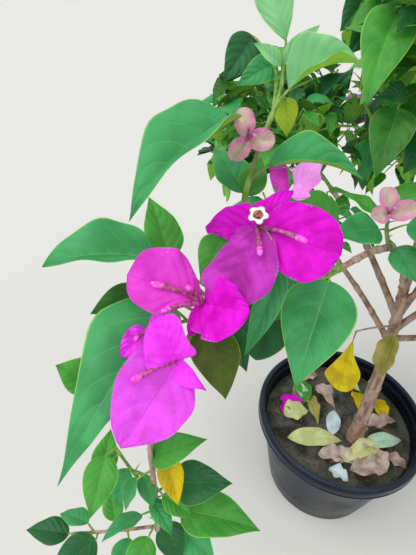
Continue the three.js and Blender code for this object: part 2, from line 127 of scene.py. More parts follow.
def new_finish(name, **shader):
    """A material with its constants set on the shader. Gives the material, its tree and its shader."""
    material = bpy.data.materials.new(name)
    material.use_nodes = True
    skin = material.node_tree.nodes["Principled BSDF"]
    for key, value in shader.items():
        skin.inputs[key.replace("_", " ")].default_value = value
    return material, material.node_tree, skin


print("mid green in linear light:", [round(c, 3) for c in linear("#53a064")[:3]])

# %% [markdown]
# The bush is shown under soft daylight: a pale sky all round, and two very broad suns, a strong
# one high on the left and a weak one low on the right, so that no side is black. Suns light the
# whole floor alike, which keeps it plain out to the edge of the picture. Colours are shown as
# they are, without a film look, because the magenta of the bracts is close to the strongest
# colour that a screen can show.

# %% Light and floor
SKY_COLOUR = "#f2f5f8"
SKY_STRENGTH = 0.68
FLOOR_COLOUR = "#dcdad5"
FLOOR_HALF = 40.0
BROAD = math.radians(55)

scene = bpy.context.scene
scene.view_settings.view_transform = "Standard"
sky = bpy.data.worlds.new("soft_sky")
sky.use_nodes = True
background = sky.node_tree.nodes["Background"]
background.inputs["Color"].default_value = linear(SKY_COLOUR)
background.inputs["Strength"].default_value = SKY_STRENGTH
scene.world = sky


def broad_sun(name, heading, height, power):
    """A broad sun that shines from a heading and a height above the floor, in degrees."""
    data = bpy.data.lights.new(name, "SUN")
    data.angle = BROAD
    data.energy = power
    lamp = bpy.data.objects.new(name, data)
    heading, height = math.radians(heading), math.radians(height)
    level = math.cos(height)
    towards = Vector((level * math.cos(heading), level * math.sin(heading), math.sin(height)))
    lamp.rotation_euler = towards.to_track_quat("Z", "Y").to_euler()
    bpy.context.collection.objects.link(lamp)


broad_sun("key_sun", heading=215, height=58, power=1.72)
broad_sun("fill_sun", heading=-35, height=40, power=0.4)

floor_finish, _, _ = new_finish("matt_backdrop_paper", Roughness=0.9, Base_Color=linear(FLOOR_COLOUR))
floor_mesh = bpy.data.meshes.new("floor")
corners = [(-1, -1), (1, -1), (1, 1), (-1, 1)]
floor_mesh.from_pydata([(x * FLOOR_HALF, y * FLOOR_HALF, 0) for x, y in corners], [], [(0, 1, 2, 3)])
floor_mesh.materials.append(floor_finish)
floor = bpy.data.objects.new("floor", floor_mesh)
bpy.context.collection.objects.link(floor)

# %% [markdown]
# Everything that grows follows a line: a limb, a shoot, a stalk. Lines are in millimetres and
# measured by their own length, so that a share of 0.5 is half way along. A limb's line passes
# smoothly through a few points, and a twig's line is one simple bend.

# %% Lines
MM = 0.001
UP = np.array([0.0, 0.0, 1.0])
LINE_STEPS = 200


def unit(vector):
    return vector / np.linalg.norm(vector)


class Line:
    """A smooth line in millimetres. A share of 0 is its foot and a share of 1 its tip."""

    def __init__(self, place):
        self.place = place
        self.steps = np.linspace(0, 1, LINE_STEPS + 1)
        gaps = np.linalg.norm(np.diff(place(self.steps), axis=0), axis=1)
        self.gone = np.concatenate([[0], np.cumsum(gaps)])
        self.length = self.gone[-1]

    def points(self, shares):
        return self.place(np.interp(np.asarray(shares) * self.length, self.gone, self.steps))

    def point(self, share):
        return self.points([share])[0]

    def tangent(self, share):
        middle = np.interp(share * self.length, self.gone, self.steps)
        before, after = max(middle - 1e-4, 0), min(middle + 1e-4, 1)
        return unit(np.subtract(*self.place(np.array([after, before]))))


def smooth_line(path):
    """The curve that passes through the points of a path."""
    knots = np.array(path, float)
    count = len(knots) - 1
    knots = np.vstack([2 * knots[0] - knots[1], knots, 2 * knots[-1] - knots[-2]])

    def place(t):
        whole = np.clip(np.floor(t * count), 0, count - 1).astype(int)
        part = (t * count - whole)[:, None]
        a, b, c, d = (knots[whole + i] for i in range(4))
        leave, arrive = (c - a) / 2, (d - b) / 2
        square = 3 * (c - b) - 2 * leave - arrive
        cube = 2 * (b - c) + leave + arrive
        return b + part * (leave + part * (square + part * cube))

    return Line(place)


def bent_line(foot, middle, tip):
    """One bend, pulled towards its middle point."""
    def place(t):
        t = t[:, None]
        return (1 - t) ** 2 * foot + 2 * t * (1 - t) * middle + t ** 2 * tip

    return Line(place)


def direction(heading, rise):
    """A direction from its heading, from +X towards +Y, and its rise above the level."""
    heading, rise = math.radians(heading), math.radians(rise)
    level = math.cos(rise)
    return np.array([level * math.cos(heading), level * math.sin(heading), math.sin(rise)])


def across_frame(along):
    """The side of a line seen along it, and the way up across it."""
    side = np.cross(along, UP)
    if side @ side < 1e-4:
        side = np.array([1.0, 0.0, 0.0])
    side = unit(side)
    return side, unit(np.cross(side, along))


def facing_up(along, roll):
    """The way a blade faces: as nearly up as it can, turned about its length by roll."""
    over = across_frame(along)[1]
    roll = math.radians(roll)
    return math.cos(roll) * over + math.sin(roll) * np.cross(along, over)


def dice(seed):
    """A seeded run of numbers, so that the bush grows the same way each time."""
    state = seed

    def roll(low, high):
        nonlocal state
        state = (state * 1664525 + 1013904223) % 4294967296
        return low + (high - low) * state / 4294967296

    return roll


print("a line's half way point:", smooth_line([[0, 0, 0], [10, 0, 5], [20, 0, 0]]).point(0.5))

# %% [markdown]
# Thin things such as leaves are many small shapes joined into one mesh. A heap gathers their
# points, faces, UV corners and finish numbers. Each piece made of it rides on the bush's one
# body and stands for the solids that it replaces. Other pieces come out of Geometry Nodes
# groups, and the last helpers build, run and end such a group.

# %% Joined meshes
class Heap:
    """Many small shapes, in millimetres, that become one mesh."""

    def __init__(self):
        self.points = []
        self.faces = []
        self.corners = []
        self.finishes = []
        self.count = 0

    def add(self, points, faces, corners=None, finishes=0):
        points = np.asarray(points, float).reshape(-1, 3)
        self.faces += [[i + self.count for i in face] for face in faces]
        self.corners += corners or [(0, 0)] * sum(map(len, faces))
        self.finishes += finishes if isinstance(finishes, list) else [finishes] * len(faces)
        self.points.append(points)
        self.count += len(points)

    def mesh(self, name, materials):
        mesh = bpy.data.meshes.new(name)
        mesh.from_pydata(np.vstack(self.points) * MM, [], self.faces)
        uv = mesh.uv_layers.new(name="UVMap")
        uv.data.foreach_set("uv", np.array(self.corners, np.float32).ravel())
        mesh.polygons.foreach_set("material_index", np.array(self.finishes, np.int32))
        mesh.polygons.foreach_set("use_smooth", np.ones(len(mesh.polygons), bool))
        for material in materials:
            mesh.materials.append(material)
        mesh.update()
        return mesh


def add_piece(name, mesh, slot, *nodes):
    """Puts a finished mesh on the bush's body."""
    piece = bpy.data.objects.new(name, mesh)
    bpy.context.collection.objects.link(piece)
    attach(piece, "root")
    if nodes:
        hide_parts(*nodes)


def add_blades(name, heap, finishes, slot, *nodes):
    """A piece of blades. The edge where two finishes meet is sharp, so that a margin is crisp."""
    mesh = heap.mesh(name, finishes)
    shaped = bmesh.new()
    shaped.from_mesh(mesh)
    for edge in shaped.edges:
        edge.smooth = len({face.material_index for face in edge.link_faces}) < 2
    shaped.to_mesh(mesh)
    shaped.free()
    add_piece(name, mesh, slot, *nodes)


def settled(name, source):
    """The plain mesh that a live object's modifiers give. The live object is then removed."""
    bpy.context.view_layer.update()
    graph = bpy.context.evaluated_depsgraph_get()
    mesh = bpy.data.meshes.new_from_object(source.evaluated_get(graph), depsgraph=graph)
    mesh.name = name
    bpy.data.objects.remove(source)
    return mesh


def grown_by(group, mesh, settings):
    """Runs a mesh through a Geometry Nodes group, with its inputs set before it is evaluated."""
    source = bpy.data.objects.new(mesh.name, mesh)
    modifier = source.modifiers.new(group.name, "NODES")
    modifier.node_group = group
    for socket in group.interface.items_tree:
        if socket.in_out == "INPUT" and socket.name in settings:
            modifier[socket.identifier] = settings[socket.name]
    bpy.context.collection.objects.link(source)
    return settled(mesh.name, source)


def new_group(name, inputs):
    """A Geometry Nodes group with inputs by name and kind. Gives it, what it is given and its end."""
    group = bpy.data.node_groups.new(name, "GeometryNodeTree")
    group.interface.new_socket("Geometry", in_out="INPUT", socket_type="NodeSocketGeometry")
    for label, kind in inputs.items():
        group.interface.new_socket(label, in_out="INPUT", socket_type="NodeSocket" + kind)
    group.interface.new_socket("Geometry", in_out="OUTPUT", socket_type="NodeSocketGeometry")
    return group, group.nodes.new("NodeGroupInput").outputs, group.nodes.new("NodeGroupOutput")


def end_group(group, geometry, finish, made):
    """Ends a group: what it placed is made real and gets its finish."""
    real = add_node(group, "GeometryNodeRealizeInstances", {"Geometry": geometry})
    named = add_node(group, "GeometryNodeSetMaterial", {"Geometry": real, "Material": finish})
    group.links.new(named.outputs["Geometry"], made.inputs["Geometry"])


print("ready to join shapes and to run groups")

# %% [markdown]
# The pot is a blow-moulded nursery pot in dark polypropylene, 300 mm over its rim. It is round in
# every section, so its outline is turned round the axis. The outline follows the wall up, steps
# out under the rim to a thin lip, goes over the thick rolled rim and comes down inside. The round
# stretches are arcs, because a few straight edges would show in the rim's highlight.

# %% Pot outline
POT_HEIGHT = 210
BASE_RADIUS = 105
NECK_RADIUS = 139
RIM_RADIUS = 150
RIM_DEPTH = 24
WALL = 2.6
POT_FLOOR = 4.5
FOOT_ROUND = 3
LIP_ROUND = 1.8
RIM_ROLL = (5.5, 7)
POT_SIDES = 144


def arc(centre, radius, start, end, count):
    """Points on an arc, with its angles in degrees. radius is one number, or one each way."""
    across, high = radius if isinstance(radius, tuple) else (radius, radius)
    angles = np.radians(np.linspace(start, end, count))
    return [(centre[0] + across * math.cos(a), centre[1] + high * math.sin(a)) for a in angles]


def tube_faces(rings, sides):
    """Faces of a closed tube: a foot point, rings of points, and a tip point."""
    faces = [[0, 1 + (k + 1) % sides, 1 + k] for k in range(sides)]
    for low in range(1, 1 + (rings - 1) * sides, sides):
        for k in range(sides):
            after = (k + 1) % sides
            faces.append([low + k, low + after, low + sides + after, low + sides + k])
    last, tip = 1 + (rings - 1) * sides, 1 + rings * sides
    return faces + [[tip, last + k, last + (k + 1) % sides] for k in range(sides)]


def turned(profile, sides):
    """Points and faces of an outline turned round the Z axis, from axis to axis."""
    points = [(0, 0, profile[0][1])]
    rings = profile[1:-1]
    for radius, height in rings:
        for k in range(sides):
            angle = 2 * math.pi * k / sides
            points.append((radius * math.cos(angle), radius * math.sin(angle), height))
    points.append((0, 0, profile[-1][1]))
    return points, tube_faces(len(rings), sides)


neck = POT_HEIGHT - RIM_DEPTH
wall_top = neck - 3
lip_height = neck + 4
pot_outline = [
    (0, 0),
    (BASE_RADIUS - 5, 0),
    *arc((BASE_RADIUS - FOOT_ROUND, FOOT_ROUND), FOOT_ROUND, -90, 0, 5),
    (BASE_RADIUS + (NECK_RADIUS - BASE_RADIUS) / 3, neck / 3),
    (BASE_RADIUS + 2 * (NECK_RADIUS - BASE_RADIUS) / 3, 2 * neck / 3),
    (NECK_RADIUS - 1.2, neck - 4),
    (NECK_RADIUS, neck),
    (RIM_RADIUS - 3, neck),
    *arc((RIM_RADIUS - LIP_ROUND, neck + LIP_ROUND), LIP_ROUND, -80, 80, 6),
    (RIM_RADIUS - 3, lip_height + 0.6),
    *arc((RIM_RADIUS - 1.6, lip_height + 2.4), (1.2, 1.6), -110, -10, 4),
    (RIM_RADIUS, lip_height + 6),
    *arc((RIM_RADIUS - RIM_ROLL[0], POT_HEIGHT - RIM_ROLL[1]), RIM_ROLL, 0, 180, 16),
    (NECK_RADIUS - 0.2, POT_HEIGHT - 12),
    (NECK_RADIUS - WALL + 1, neck + 2),
    (NECK_RADIUS - WALL, wall_top),
    (BASE_RADIUS - WALL, POT_FLOOR),
    (0, POT_FLOOR),
]
pot_heap = Heap()
pot_heap.add(*turned(pot_outline, POT_SIDES))
print("pot:", len(pot_outline), "points in its outline,", len(pot_heap.faces), "faces")

# %% [markdown]
# Polypropylene is coloured all through. It gives a dull blue-black with a soft gleam. Years on
# bare ground leave a thin grey film on what faces up, and fine scratches that run down the wall.
# The film is a noise with patches of about 60 mm, held where the surface faces up. Its pale
# blue-grey is partly that dust and partly a painted sky sheen that lightens the rim's top. The
# scratches are a noise drawn out along the wall, under 2 mm wide and 25 mm long.

# %% Pot finish
SMOOTH = {"interpolation_type": "SMOOTHSTEP"}
COLOUR = {"data_type": "RGBA"}


def patches(tree, size, stretch=(1, 1, 1), detail=4.0):
    """A cloudy pattern on the piece's own coordinates, with patches of a size in millimetres."""
    place = add_node(tree, "ShaderNodeTexCoord")
    scale = [s / (size * MM) for s in stretch]
    mapped = add_node(tree, "ShaderNodeMapping", {"Vector": place.outputs["Object"], "Scale": scale})
    return add_node(tree, "ShaderNodeTexNoise", {"Vector": mapped, "Scale": 1.0, "Detail": detail})


def two_tones(tree, pattern, dark, light):
    """A colour that wanders between two tones where a pattern is low and high."""
    share = add_node(tree, "ShaderNodeMapRange", {0: pattern, 1: 0.36, 2: 0.64}, **SMOOTH)
    return add_node(tree, "ShaderNodeMix", {"Factor": share, "A": dark, "B": light}, **COLOUR)


def spotted(tree, tone, spot, pattern, start, end, most):
    """A tone with a spot colour mixed in, by at most a share, as a pattern goes from start to end."""
    share = add_node(tree, "ShaderNodeMapRange", {0: pattern, 1: start, 2: end, 3: 0, 4: most}, **SMOOTH)
    return add_node(tree, "ShaderNodeMix", {"Factor": share, "A": tone, "B": spot}, **COLOUR)


def finish_skin(tree, skin, colour, roughness=None, height=None, depth=0.3):
    """Links a colour, a cloud with a low and a high roughness, and a relief with a depth in mm."""
    tree.links.new(next(s for s in colour.outputs if s.enabled), skin.inputs["Base Color"])
    if roughness:
        cloud, low, high = roughness
        gloss = add_node(tree, "ShaderNodeMapRange", {0: cloud, 1: 0.3, 2: 0.7, 3: low, 4: high})
        tree.links.new(gloss.outputs[0], skin.inputs["Roughness"])
    if height:
        bump = add_node(tree, "ShaderNodeBump", {"Height": height, "Distance": depth * MM})
        tree.links.new(bump.outputs["Normal"], skin.inputs["Normal"])


# the blue specular tint is a painted reflection of a blue sky
pot_finish, tree, skin = new_finish(
    "moulded_polypropylene", IOR=1.49, Specular_IOR_Level=0.24, Specular_Tint=linear("#a8c2f0"),
)
cloudy = patches(tree, 60)
plastic = two_tones(tree, cloudy, "#07080c", "#0e1118")
scratches = patches(tree, 15, (9, 9, 0.6))
scratched = spotted(tree, plastic, "#56627a", scratches, 0.56, 0.72, 0.24)
normal = add_node(tree, "ShaderNodeNewGeometry").outputs["Normal"]
normal = add_node(tree, "ShaderNodeSeparateXYZ", {0: normal})
# pale blue-grey where the surface faces up: a dust film, and a painted sky sheen that lightens the rim's top
faces_up = add_node(tree, "ShaderNodeMapRange", {0: normal.outputs["Z"], 1: 0.3, 2: 1.0, 3: 0.02, 4: 0.28})
dust_and_sheen_share = add_node(tree, "ShaderNodeMath", {0: faces_up, 1: cloudy}, operation="MULTIPLY")
dust_and_sheen = add_node(tree, "ShaderNodeMix", {"Factor": dust_and_sheen_share, "A": scratched, "B": "#7d8aa0"}, **COLOUR)
finish_skin(tree, skin, dust_and_sheen, (cloudy, 0.18, 0.42), scratches, 0.1)
add_piece("nursery_pot", pot_heap.mesh("nursery_pot", [pot_finish]), "pot", "pot")
print("finish:", pot_finish.name)

# %% [markdown]
# Inside the rim, three fine ribs stiffen the wall. They are equal rings one above the other, so
# Geometry Nodes make them: a line of points up the wall carries one ring on each point, and each
# ring is a round bead swept round the wall's radius.

# %% Ribs inside the rim
RIB_COUNT = 3
RIB_PITCH = 4.6
RIB_BEAD = 1.2

ribs, given, made = new_group("ribs_up_a_wall", {
    "Wall radius": "Float", "Bead radius": "Float",
    "Rib count": "Int", "Lowest rib": "Float",
    "Pitch": "Float", "Finish": "Material",
})
heights = add_node(ribs, "GeometryNodeMeshLine", {
    "Count": given["Rib count"],
    "Start Location": add_node(ribs, "ShaderNodeCombineXYZ", {"Z": given["Lowest rib"]}),
    "Offset": add_node(ribs, "ShaderNodeCombineXYZ", {"Z": given["Pitch"]}),
})
ring = add_node(ribs, "GeometryNodeCurvePrimitiveCircle", {
    "Resolution": POT_SIDES, "Radius": given["Wall radius"],
})
bead = add_node(ribs, "GeometryNodeCurvePrimitiveCircle", {
    "Resolution": 8, "Radius": given["Bead radius"],
})
swept = add_node(ribs, "GeometryNodeCurveToMesh", {"Curve": ring, "Profile Curve": bead})
copies = add_node(ribs, "GeometryNodeInstanceOnPoints", {"Points": heights, "Instance": swept})
end_group(ribs, copies, given["Finish"], made)

rib_mesh = grown_by(ribs, bpy.data.meshes.new("pot_ribs"), {
    "Wall radius": (NECK_RADIUS - WALL + 1.6) * MM, "Bead radius": RIB_BEAD * MM,
    "Rib count": RIB_COUNT, "Lowest rib": (neck - 1.5) * MM, "Pitch": RIB_PITCH * MM,
    "Finish": pot_finish,
})
rib_mesh.polygons.foreach_set("use_smooth", np.ones(len(rib_mesh.polygons), bool))
add_piece("pot_ribs", rib_mesh, "pot")
print("ribs:", RIB_COUNT, "with", len(rib_mesh.polygons), "faces")

# %% [markdown]
# The potting mix is loam and compost, dried to a dull grey-brown crust. It fills the pot to
# 35 mm under the rim and sinks a little towards the wall. Its top is a fine round grid moved up
# and down by noise, with broad waves and small clods. Its side and bottom are hidden and plain.

# %% Potting mix
SOIL_LEVEL = 175
SOIL_DIP = 5
FLAT_RADIUS = 68
SOIL_RINGS = 44
SOIL_SIDES = 96
# height and breadth of the crust's relief
WAVES = (2.2, 42)
CLODS = (1.3, 13)
GRAINS = (0.9, 5)
GAP = 0.3


def inner_radius(height):
    """The potting mix's radius at a height, clear of the wall."""
    slope = (NECK_RADIUS - BASE_RADIUS) / (wall_top - POT_FLOOR)
    return BASE_RADIUS - WALL + slope * (height - POT_FLOOR) - GAP


edge_radius = inner_radius(SOIL_LEVEL - SOIL_DIP)


def soil_height(x, y):
    """The height of the crust: flat round the trunk, sinking to the wall, with clods."""
    sink = max(0, (math.hypot(x, y) - FLAT_RADIUS) / (edge_radius - FLAT_RADIUS))
    waves = WAVES[0] * noise.noise(Vector((x, y, 0)) / WAVES[1])
    clods = CLODS[0] * noise.noise(Vector((x, y, 7)) / CLODS[1])
    clods += GRAINS[0] * abs(noise.noise(Vector((x, y, 3)) / GRAINS[1]))
    return SOIL_LEVEL - SOIL_DIP * sink + waves + clods


soil_outline = [(0, POT_FLOOR + GAP), (inner_radius(POT_FLOOR) - GAP, POT_FLOOR + GAP)]
soil_outline += [(edge_radius * (1 - k / SOIL_RINGS), 0) for k in range(SOIL_RINGS)] + [(0, 0)]
soil_points, soil_faces = turned(soil_outline, SOIL_SIDES)
first_on_top = 1 + SOIL_SIDES
soil_points = soil_points[:first_on_top] + [
    (x, y, soil_height(x, y)) for x, y, _ in soil_points[first_on_top:]
]
soil_heap = Heap()
soil_heap.add(soil_points, soil_faces)
print("potting mix:", len(soil_faces), "faces")

# %% [markdown]
# Dry loam is matt. Its colour wanders between grey-brown and near black where it is still damp,
# in patches of 20 to 40 mm, with pale flecks of grit 1 to 2 mm across. The clods and grains of
# 1 to 4 mm that lie loose on the crust are scattered by Geometry Nodes: points on the faces that
# look up, each with a small rough lump that is turned and stretched at random from a fixed seed.

# %% Potting mix finish and crumbs
CRUMB_SEED = 5
CRUMBS_PER_SQUARE_METRE = 15000
FACES_OF_A_CRUMB = 20

soil_finish, tree, skin = new_finish("dry_loam_compost", Roughness=0.95, Specular_IOR_Level=0.2)
damp = patches(tree, 30, detail=7.0)
crust = two_tones(tree, damp, "#36352f", "#67665c")
flecks = patches(tree, 2.2, detail=2.0)
speckled = spotted(tree, crust, "#a39e94", flecks, 0.64, 0.72, 0.4)
finish_skin(tree, skin, speckled, None, damp, 3.0)

crumb_finish, tree, skin = new_finish("loose_crumbs", Roughness=0.95, Specular_IOR_Level=0.2)
grain = patches(tree, 5)
finish_skin(tree, skin, two_tones(tree, grain, "#3a3833", "#7a766b"), None, grain, 0.8)

crumbs, given, made = new_group("crumbs_on_a_crust", {
    "Crumbs per square metre": "Float", "Smallest": "Float",
    "Largest": "Float", "Seed": "Int", "Finish": "Material",
})
facing = add_node(crumbs, "ShaderNodeSeparateXYZ", {0: add_node(crumbs, "GeometryNodeInputNormal")})
on_top = add_node(crumbs, "FunctionNodeCompare", {0: facing.outputs["Z"], 1: 0.5}, operation="GREATER_THAN")
points = add_node(crumbs, "GeometryNodeDistributePointsOnFaces", {
    "Mesh": given["Geometry"], "Selection": on_top,
    "Density": given["Crumbs per square metre"], "Seed": given["Seed"],
})
lump = add_node(crumbs, "GeometryNodeMeshIcoSphere", {"Radius": 1.0, "Subdivisions": 1})
rough_size = add_node(crumbs, "FunctionNodeRandomValue", {
    "Min": given["Smallest"], "Max": given["Largest"], "Seed": given["Seed"],
})
stretch = add_node(crumbs, "FunctionNodeRandomValue", {
    "Min": (0.7, 0.7, 0.5), "Max": (1.3, 1.3, 1.0), "Seed": CRUMB_SEED + 1,
}, data_type="FLOAT_VECTOR")
size = add_node(crumbs, "ShaderNodeVectorMath", {0: stretch, "Scale": rough_size}, operation="SCALE")
spin = add_node(crumbs, "FunctionNodeRandomValue", {
    "Min": (0, 0, 0), "Max": (6.28, 6.28, 6.28), "Seed": CRUMB_SEED + 2,
}, data_type="FLOAT_VECTOR")
copies = add_node(crumbs, "GeometryNodeInstanceOnPoints", {
    "Points": points, "Instance": lump, "Scale": size,
    "Rotation": add_node(crumbs, "FunctionNodeEulerToRotation", {0: spin}),
})
end_group(crumbs, copies, given["Finish"], made)

crumb_mesh = grown_by(crumbs, soil_heap.mesh("soil_crumbs", [soil_finish]), {
    "Crumbs per square metre": CRUMBS_PER_SQUARE_METRE, "Smallest": 0.5 * MM,
    "Largest": 1.9 * MM, "Seed": CRUMB_SEED, "Finish": crumb_finish,
})
add_piece("potting_mix", soil_heap.mesh("potting_mix", [soil_finish]), "soil", "soil")
add_piece("soil_crumbs", crumb_mesh, "soil")
print("crumbs:", len(crumb_mesh.polygons) // FACES_OF_A_CRUMB)

# %% [markdown]
# Bougainvillea bark is thin and grey-brown. On a trunk of this age it has shallow fissures that
# run lengthwise, a fine grain, and a swollen ring at each old leaf joint. The trunk and boughs
# are round tubes with this relief in the mesh itself: each point is moved in or out by noise that
# is drawn out along the limb, and by a bulge at each joint. Each bough starts inside the limb
# that carries it and swells there into a collar.

# %% Trunk and boughs
LIMBS = {
    # the points that its line passes through, and its radius at the foot and at the tip
    "trunk": ([[25.5, -33, SOIL_LEVEL - 12], [19, -31, 350], [9, -31, 465], [0, -32, 530]], 12.5, 6.4),
    "leader": ([[0, -32, 526], [6, -16, 610], [14, 6, 690]], 5.6, 4),
    "front_bough": ([[4, -32, 512], [-32, -66, 588], [-77, -110, 640]], 5.4, 3.9),
    "front_cane": ([[-76, -109, 639], [-114, -149, 657], [-149, -184, 663]], 3.8, 2.6),
    "back_bough": ([[6, -31, 492], [34, 40, 556], [60, 112, 615]], 5.2, 3.6),
    "back_left_bough": ([[8, -31, 474], [-46, 28, 560], [-92, 84, 610]], 5, 3.4),
    "right_bough": ([[11, -31, 450], [66, -36, 534], [112, -42, 588]], 5, 3.4),
    "back_right_bough": ([[9, -31, 484], [62, 10, 550], [112, 58, 592]], 4.8, 3.4),
    "front_upper_bough": ([[4, -33, 506], [12, -62, 552], [14, -92, 590]], 4.4, 3.2),
    "left_bough": ([[13, -31, 424], [-42, -16, 496], [-84, 4, 542]], 4.6, 3.2),
    "front_right_bough": ([[13, -31, 432], [56, -84, 492], [86, -124, 530]], 4.6, 3.2),
}
TRUNK_FLARE = 6
FLARE_LENGTH = 20
COLLAR_SHARE = 0.35
COLLAR_LENGTH = 9
JOINT_PITCH = 46
JOINT_LENGTH = 4.5
RING_LENGTH = 1.2
FISSURE_LENGTH = 16
GRAIN_LENGTH = 3.5
# rows along the limb, sides round it, and depth of the relief
TRUNK_DETAIL = (190, 44, 0.45)
BOUGH_DETAIL = (84, 22, 0.26)


def carried_frames(points):
    """Two directions across each step of a line, carried along it without twisting."""
    tangents = np.gradient(points, axis=0)
    tangents /= np.linalg.norm(tangents, axis=1)[:, None]
    first = across_frame(tangents[0])[0] if abs(tangents[0][2]) < 0.9 else np.array([1.0, 0, 0])
    sides = []
    for tangent in tangents:
        first = unit(first - tangent * (first @ tangent))
        sides.append(first)
    sides = np.array(sides)
    return sides, np.cross(tangents, sides)


def rough_tube(heap, line, radius_at, rows, sides, relief):
    """A closed tube along a line. relief(angle, gone) moves the bark out, in millimetres."""
    shares = np.linspace(0, 1, rows + 1)
    centres = line.points(shares)
    side, over = carried_frames(centres)
    points = [centres[0]]
    for k, share in enumerate(shares):
        for j in range(sides):
            angle = 2 * math.pi * j / sides
            out = radius_at(share) + relief(angle, share * line.length)
            points.append(centres[k] + out * (math.cos(angle) * side[k] + math.sin(angle) * over[k]))
    points.append(centres[-1])
    heap.add(points, tube_faces(rows + 1, sides))


def bark_relief(seed, depth, radius):
    """Lengthwise fissures and a ringed joint every few centimetres, deeper on a thicker limb."""
    def relief(angle, gone):
        round_limb = Vector((math.cos(angle), math.sin(angle), 0)) * radius / 2.6
        fissures = noise.noise(round_limb * 1.5 + Vector((0, 0, gone / FISSURE_LENGTH + seed)))
        furrows = -max(0, 0.35 - abs(fissures)) * depth * 2.2
        grain = noise.noise(round_limb * 3 + Vector((9, 0, gone / GRAIN_LENGTH + seed))) * depth * 0.5
        off_joint = (gone + 11 * seed) % JOINT_PITCH - JOINT_PITCH / 2 + 2 * math.cos(angle - seed)
        swollen = 2.2 * math.exp(-(off_joint / JOINT_LENGTH) ** 2)
        ringed = 1.1 * math.exp(-(off_joint / RING_LENGTH) ** 2)
        return furrows + grain + depth * (swollen + ringed)

    return relief


limb_lines = {name: smooth_line(path) for name, (path, _, _) in LIMBS.items()}
bark_heaps = {name: Heap() for name in LIMBS}
for seed, (name, (_, foot, tip)) in enumerate(LIMBS.items()):
    line = limb_lines[name]
    is_trunk = name == "trunk"
    rows, sides, depth = TRUNK_DETAIL if is_trunk else BOUGH_DETAIL
    flare, collar = (TRUNK_FLARE, 0) if is_trunk else (0, COLLAR_SHARE * foot)

    def radius_at(share):
        gone = share * line.length
        taper = foot + (tip - foot) * share
        return taper + flare * math.exp(-gone / FLARE_LENGTH) + collar * math.exp(-gone / COLLAR_LENGTH)

    rough_tube(bark_heaps[name], line, radius_at, rows, sides, bark_relief(seed, depth, foot))
print("limbs:", len(bark_heaps), "with", sum(len(h.faces) for h in bark_heaps.values()), "faces")

# %% [markdown]
# The bark's colour goes from warm brown in the furrows to a pale grey-brown on the ridges, in
# streaks a few millimetres wide and some centimetres long, with thin grey patches where the
# surface has weathered. The foot of the trunk is redder, where new bark shows. It is all but matt.

# %% Bark finish
RED_FOOT_HEIGHT = 250

bark_finish, tree, skin = new_finish("weathered_thin_bark", Specular_IOR_Level=0.3)
streaks = patches(tree, 24, (3.6, 3.6, 0.7), 6.0)
brown = two_tones(tree, streaks, "#86695a", "#c4a696")
place = add_node(tree, "ShaderNodeTexCoord").outputs["Object"]
height = add_node(tree, "ShaderNodeSeparateXYZ", {0: place})
height = height.outputs["Z"]
ruddy = spotted(tree, brown, "#a5725b", height, RED_FOOT_HEIGHT * MM, SOIL_LEVEL * MM, 0.75)
weathered = patches(tree, 22, detail=5.0)
grey = spotted(tree, ruddy, "#c2b7ac", weathered, 0.5, 0.68, 0.5)
finish_skin(tree, skin, grey, (streaks, 0.7, 0.9), streaks, 1.0)
for name, heap in bark_heaps.items():
    add_piece(name + "_bark", heap.mesh(name + "_bark", [bark_finish]), "bark", name)
print("finish:", bark_finish.name)

# %% [markdown]
# Young shoots, twigs, leaf stalks and thorns are thin and round, and there are hundreds. Each is
# drawn as a chain of edges whose points carry a thickness, and one Geometry Nodes group sweeps a
# ring along all of them at once. Its inputs set how many sides a stem has and its finish.

# %% Stems from lines
stems, given, made = new_group("stems_from_lines", {
    "Sides": "Int", "Finish": "Material",
})
curves = add_node(stems, "GeometryNodeMeshToCurve", {"Mesh": given["Geometry"]})
ring = add_node(stems, "GeometryNodeCurvePrimitiveCircle", {
    "Resolution": given["Sides"], "Radius": 1.0,
})
thickness = add_node(stems, "GeometryNodeInputNamedAttribute", {"Name": "thickness"})
swept = add_node(stems, "GeometryNodeCurveToMesh", {
    "Curve": curves, "Profile Curve": ring, "Scale": thickness, "Fill Caps": True,
})
smooth = add_node(stems, "GeometryNodeSetShadeSmooth", {"Geometry": swept})
end_group(stems, smooth, given["Finish"], made)


class Twigs:
    """Chains of edges with a thickness, in millimetres, that one group sweeps into stems."""

    def __init__(self):
        self.points = []
        self.edges = []
        self.thickness = []

    def add(self, points, thickness):
        first = len(self.points)
        self.points += [tuple(p) for p in points]
        self.edges += [(first + k, first + k + 1) for k in range(len(points) - 1)]
        self.thickness += [float(t) for t in thickness]

    def piece(self, name, sides, finish, slot, *nodes):
        mesh = bpy.data.meshes.new(name)
        mesh.from_pydata(np.array(self.points) * MM, self.edges, [])
        held = mesh.attributes.new("thickness", "FLOAT", "POINT")
        held.data.foreach_set("value", np.array(self.thickness, np.float32) * MM)
        swept = grown_by(stems, mesh, {"Sides": sides, "Finish": finish})
        add_piece(name, swept, slot, *nodes)


stem_finish, tree, skin = new_finish("young_green_stem", Specular_IOR_Level=0.4)
ridged = patches(tree, 9, (2.5, 2.5, 0.6))
green = two_tones(tree, ridged, "#65902f", "#93b45c")
corky = patches(tree, 40, detail=3.0)
aged = spotted(tree, green, "#84735a", corky, 0.54, 0.68, 0.6)
finish_skin(tree, skin, aged, (ridged, 0.45, 0.7), ridged, 0.3)
print("group:", stems.name, "finish:", stem_finish.name)

# %% [markdown]
# A bougainvillea leaf is thin, soft and slightly glossy: mid green with a touch of blue above,
# paler and yellower below. Its midrib and six pairs of side veins are fine pale lines that sweep
# forward to the margin, the blade swells a little between them, and the margin itself is a thin
# yellow-green line. All of this follows the blade, so it is drawn from the blade's own UV map: U
# runs from the stalk to the tip and V across. Slow changes of tone use the bush's own
# coordinates. The underside gets a little light of its own, for the daylight that comes through.

# %% Leaf finishes
VEIN_PAIRS = 6.0
VEIN_SWEEP = 0.3
VEIN_BREADTH = 0.007


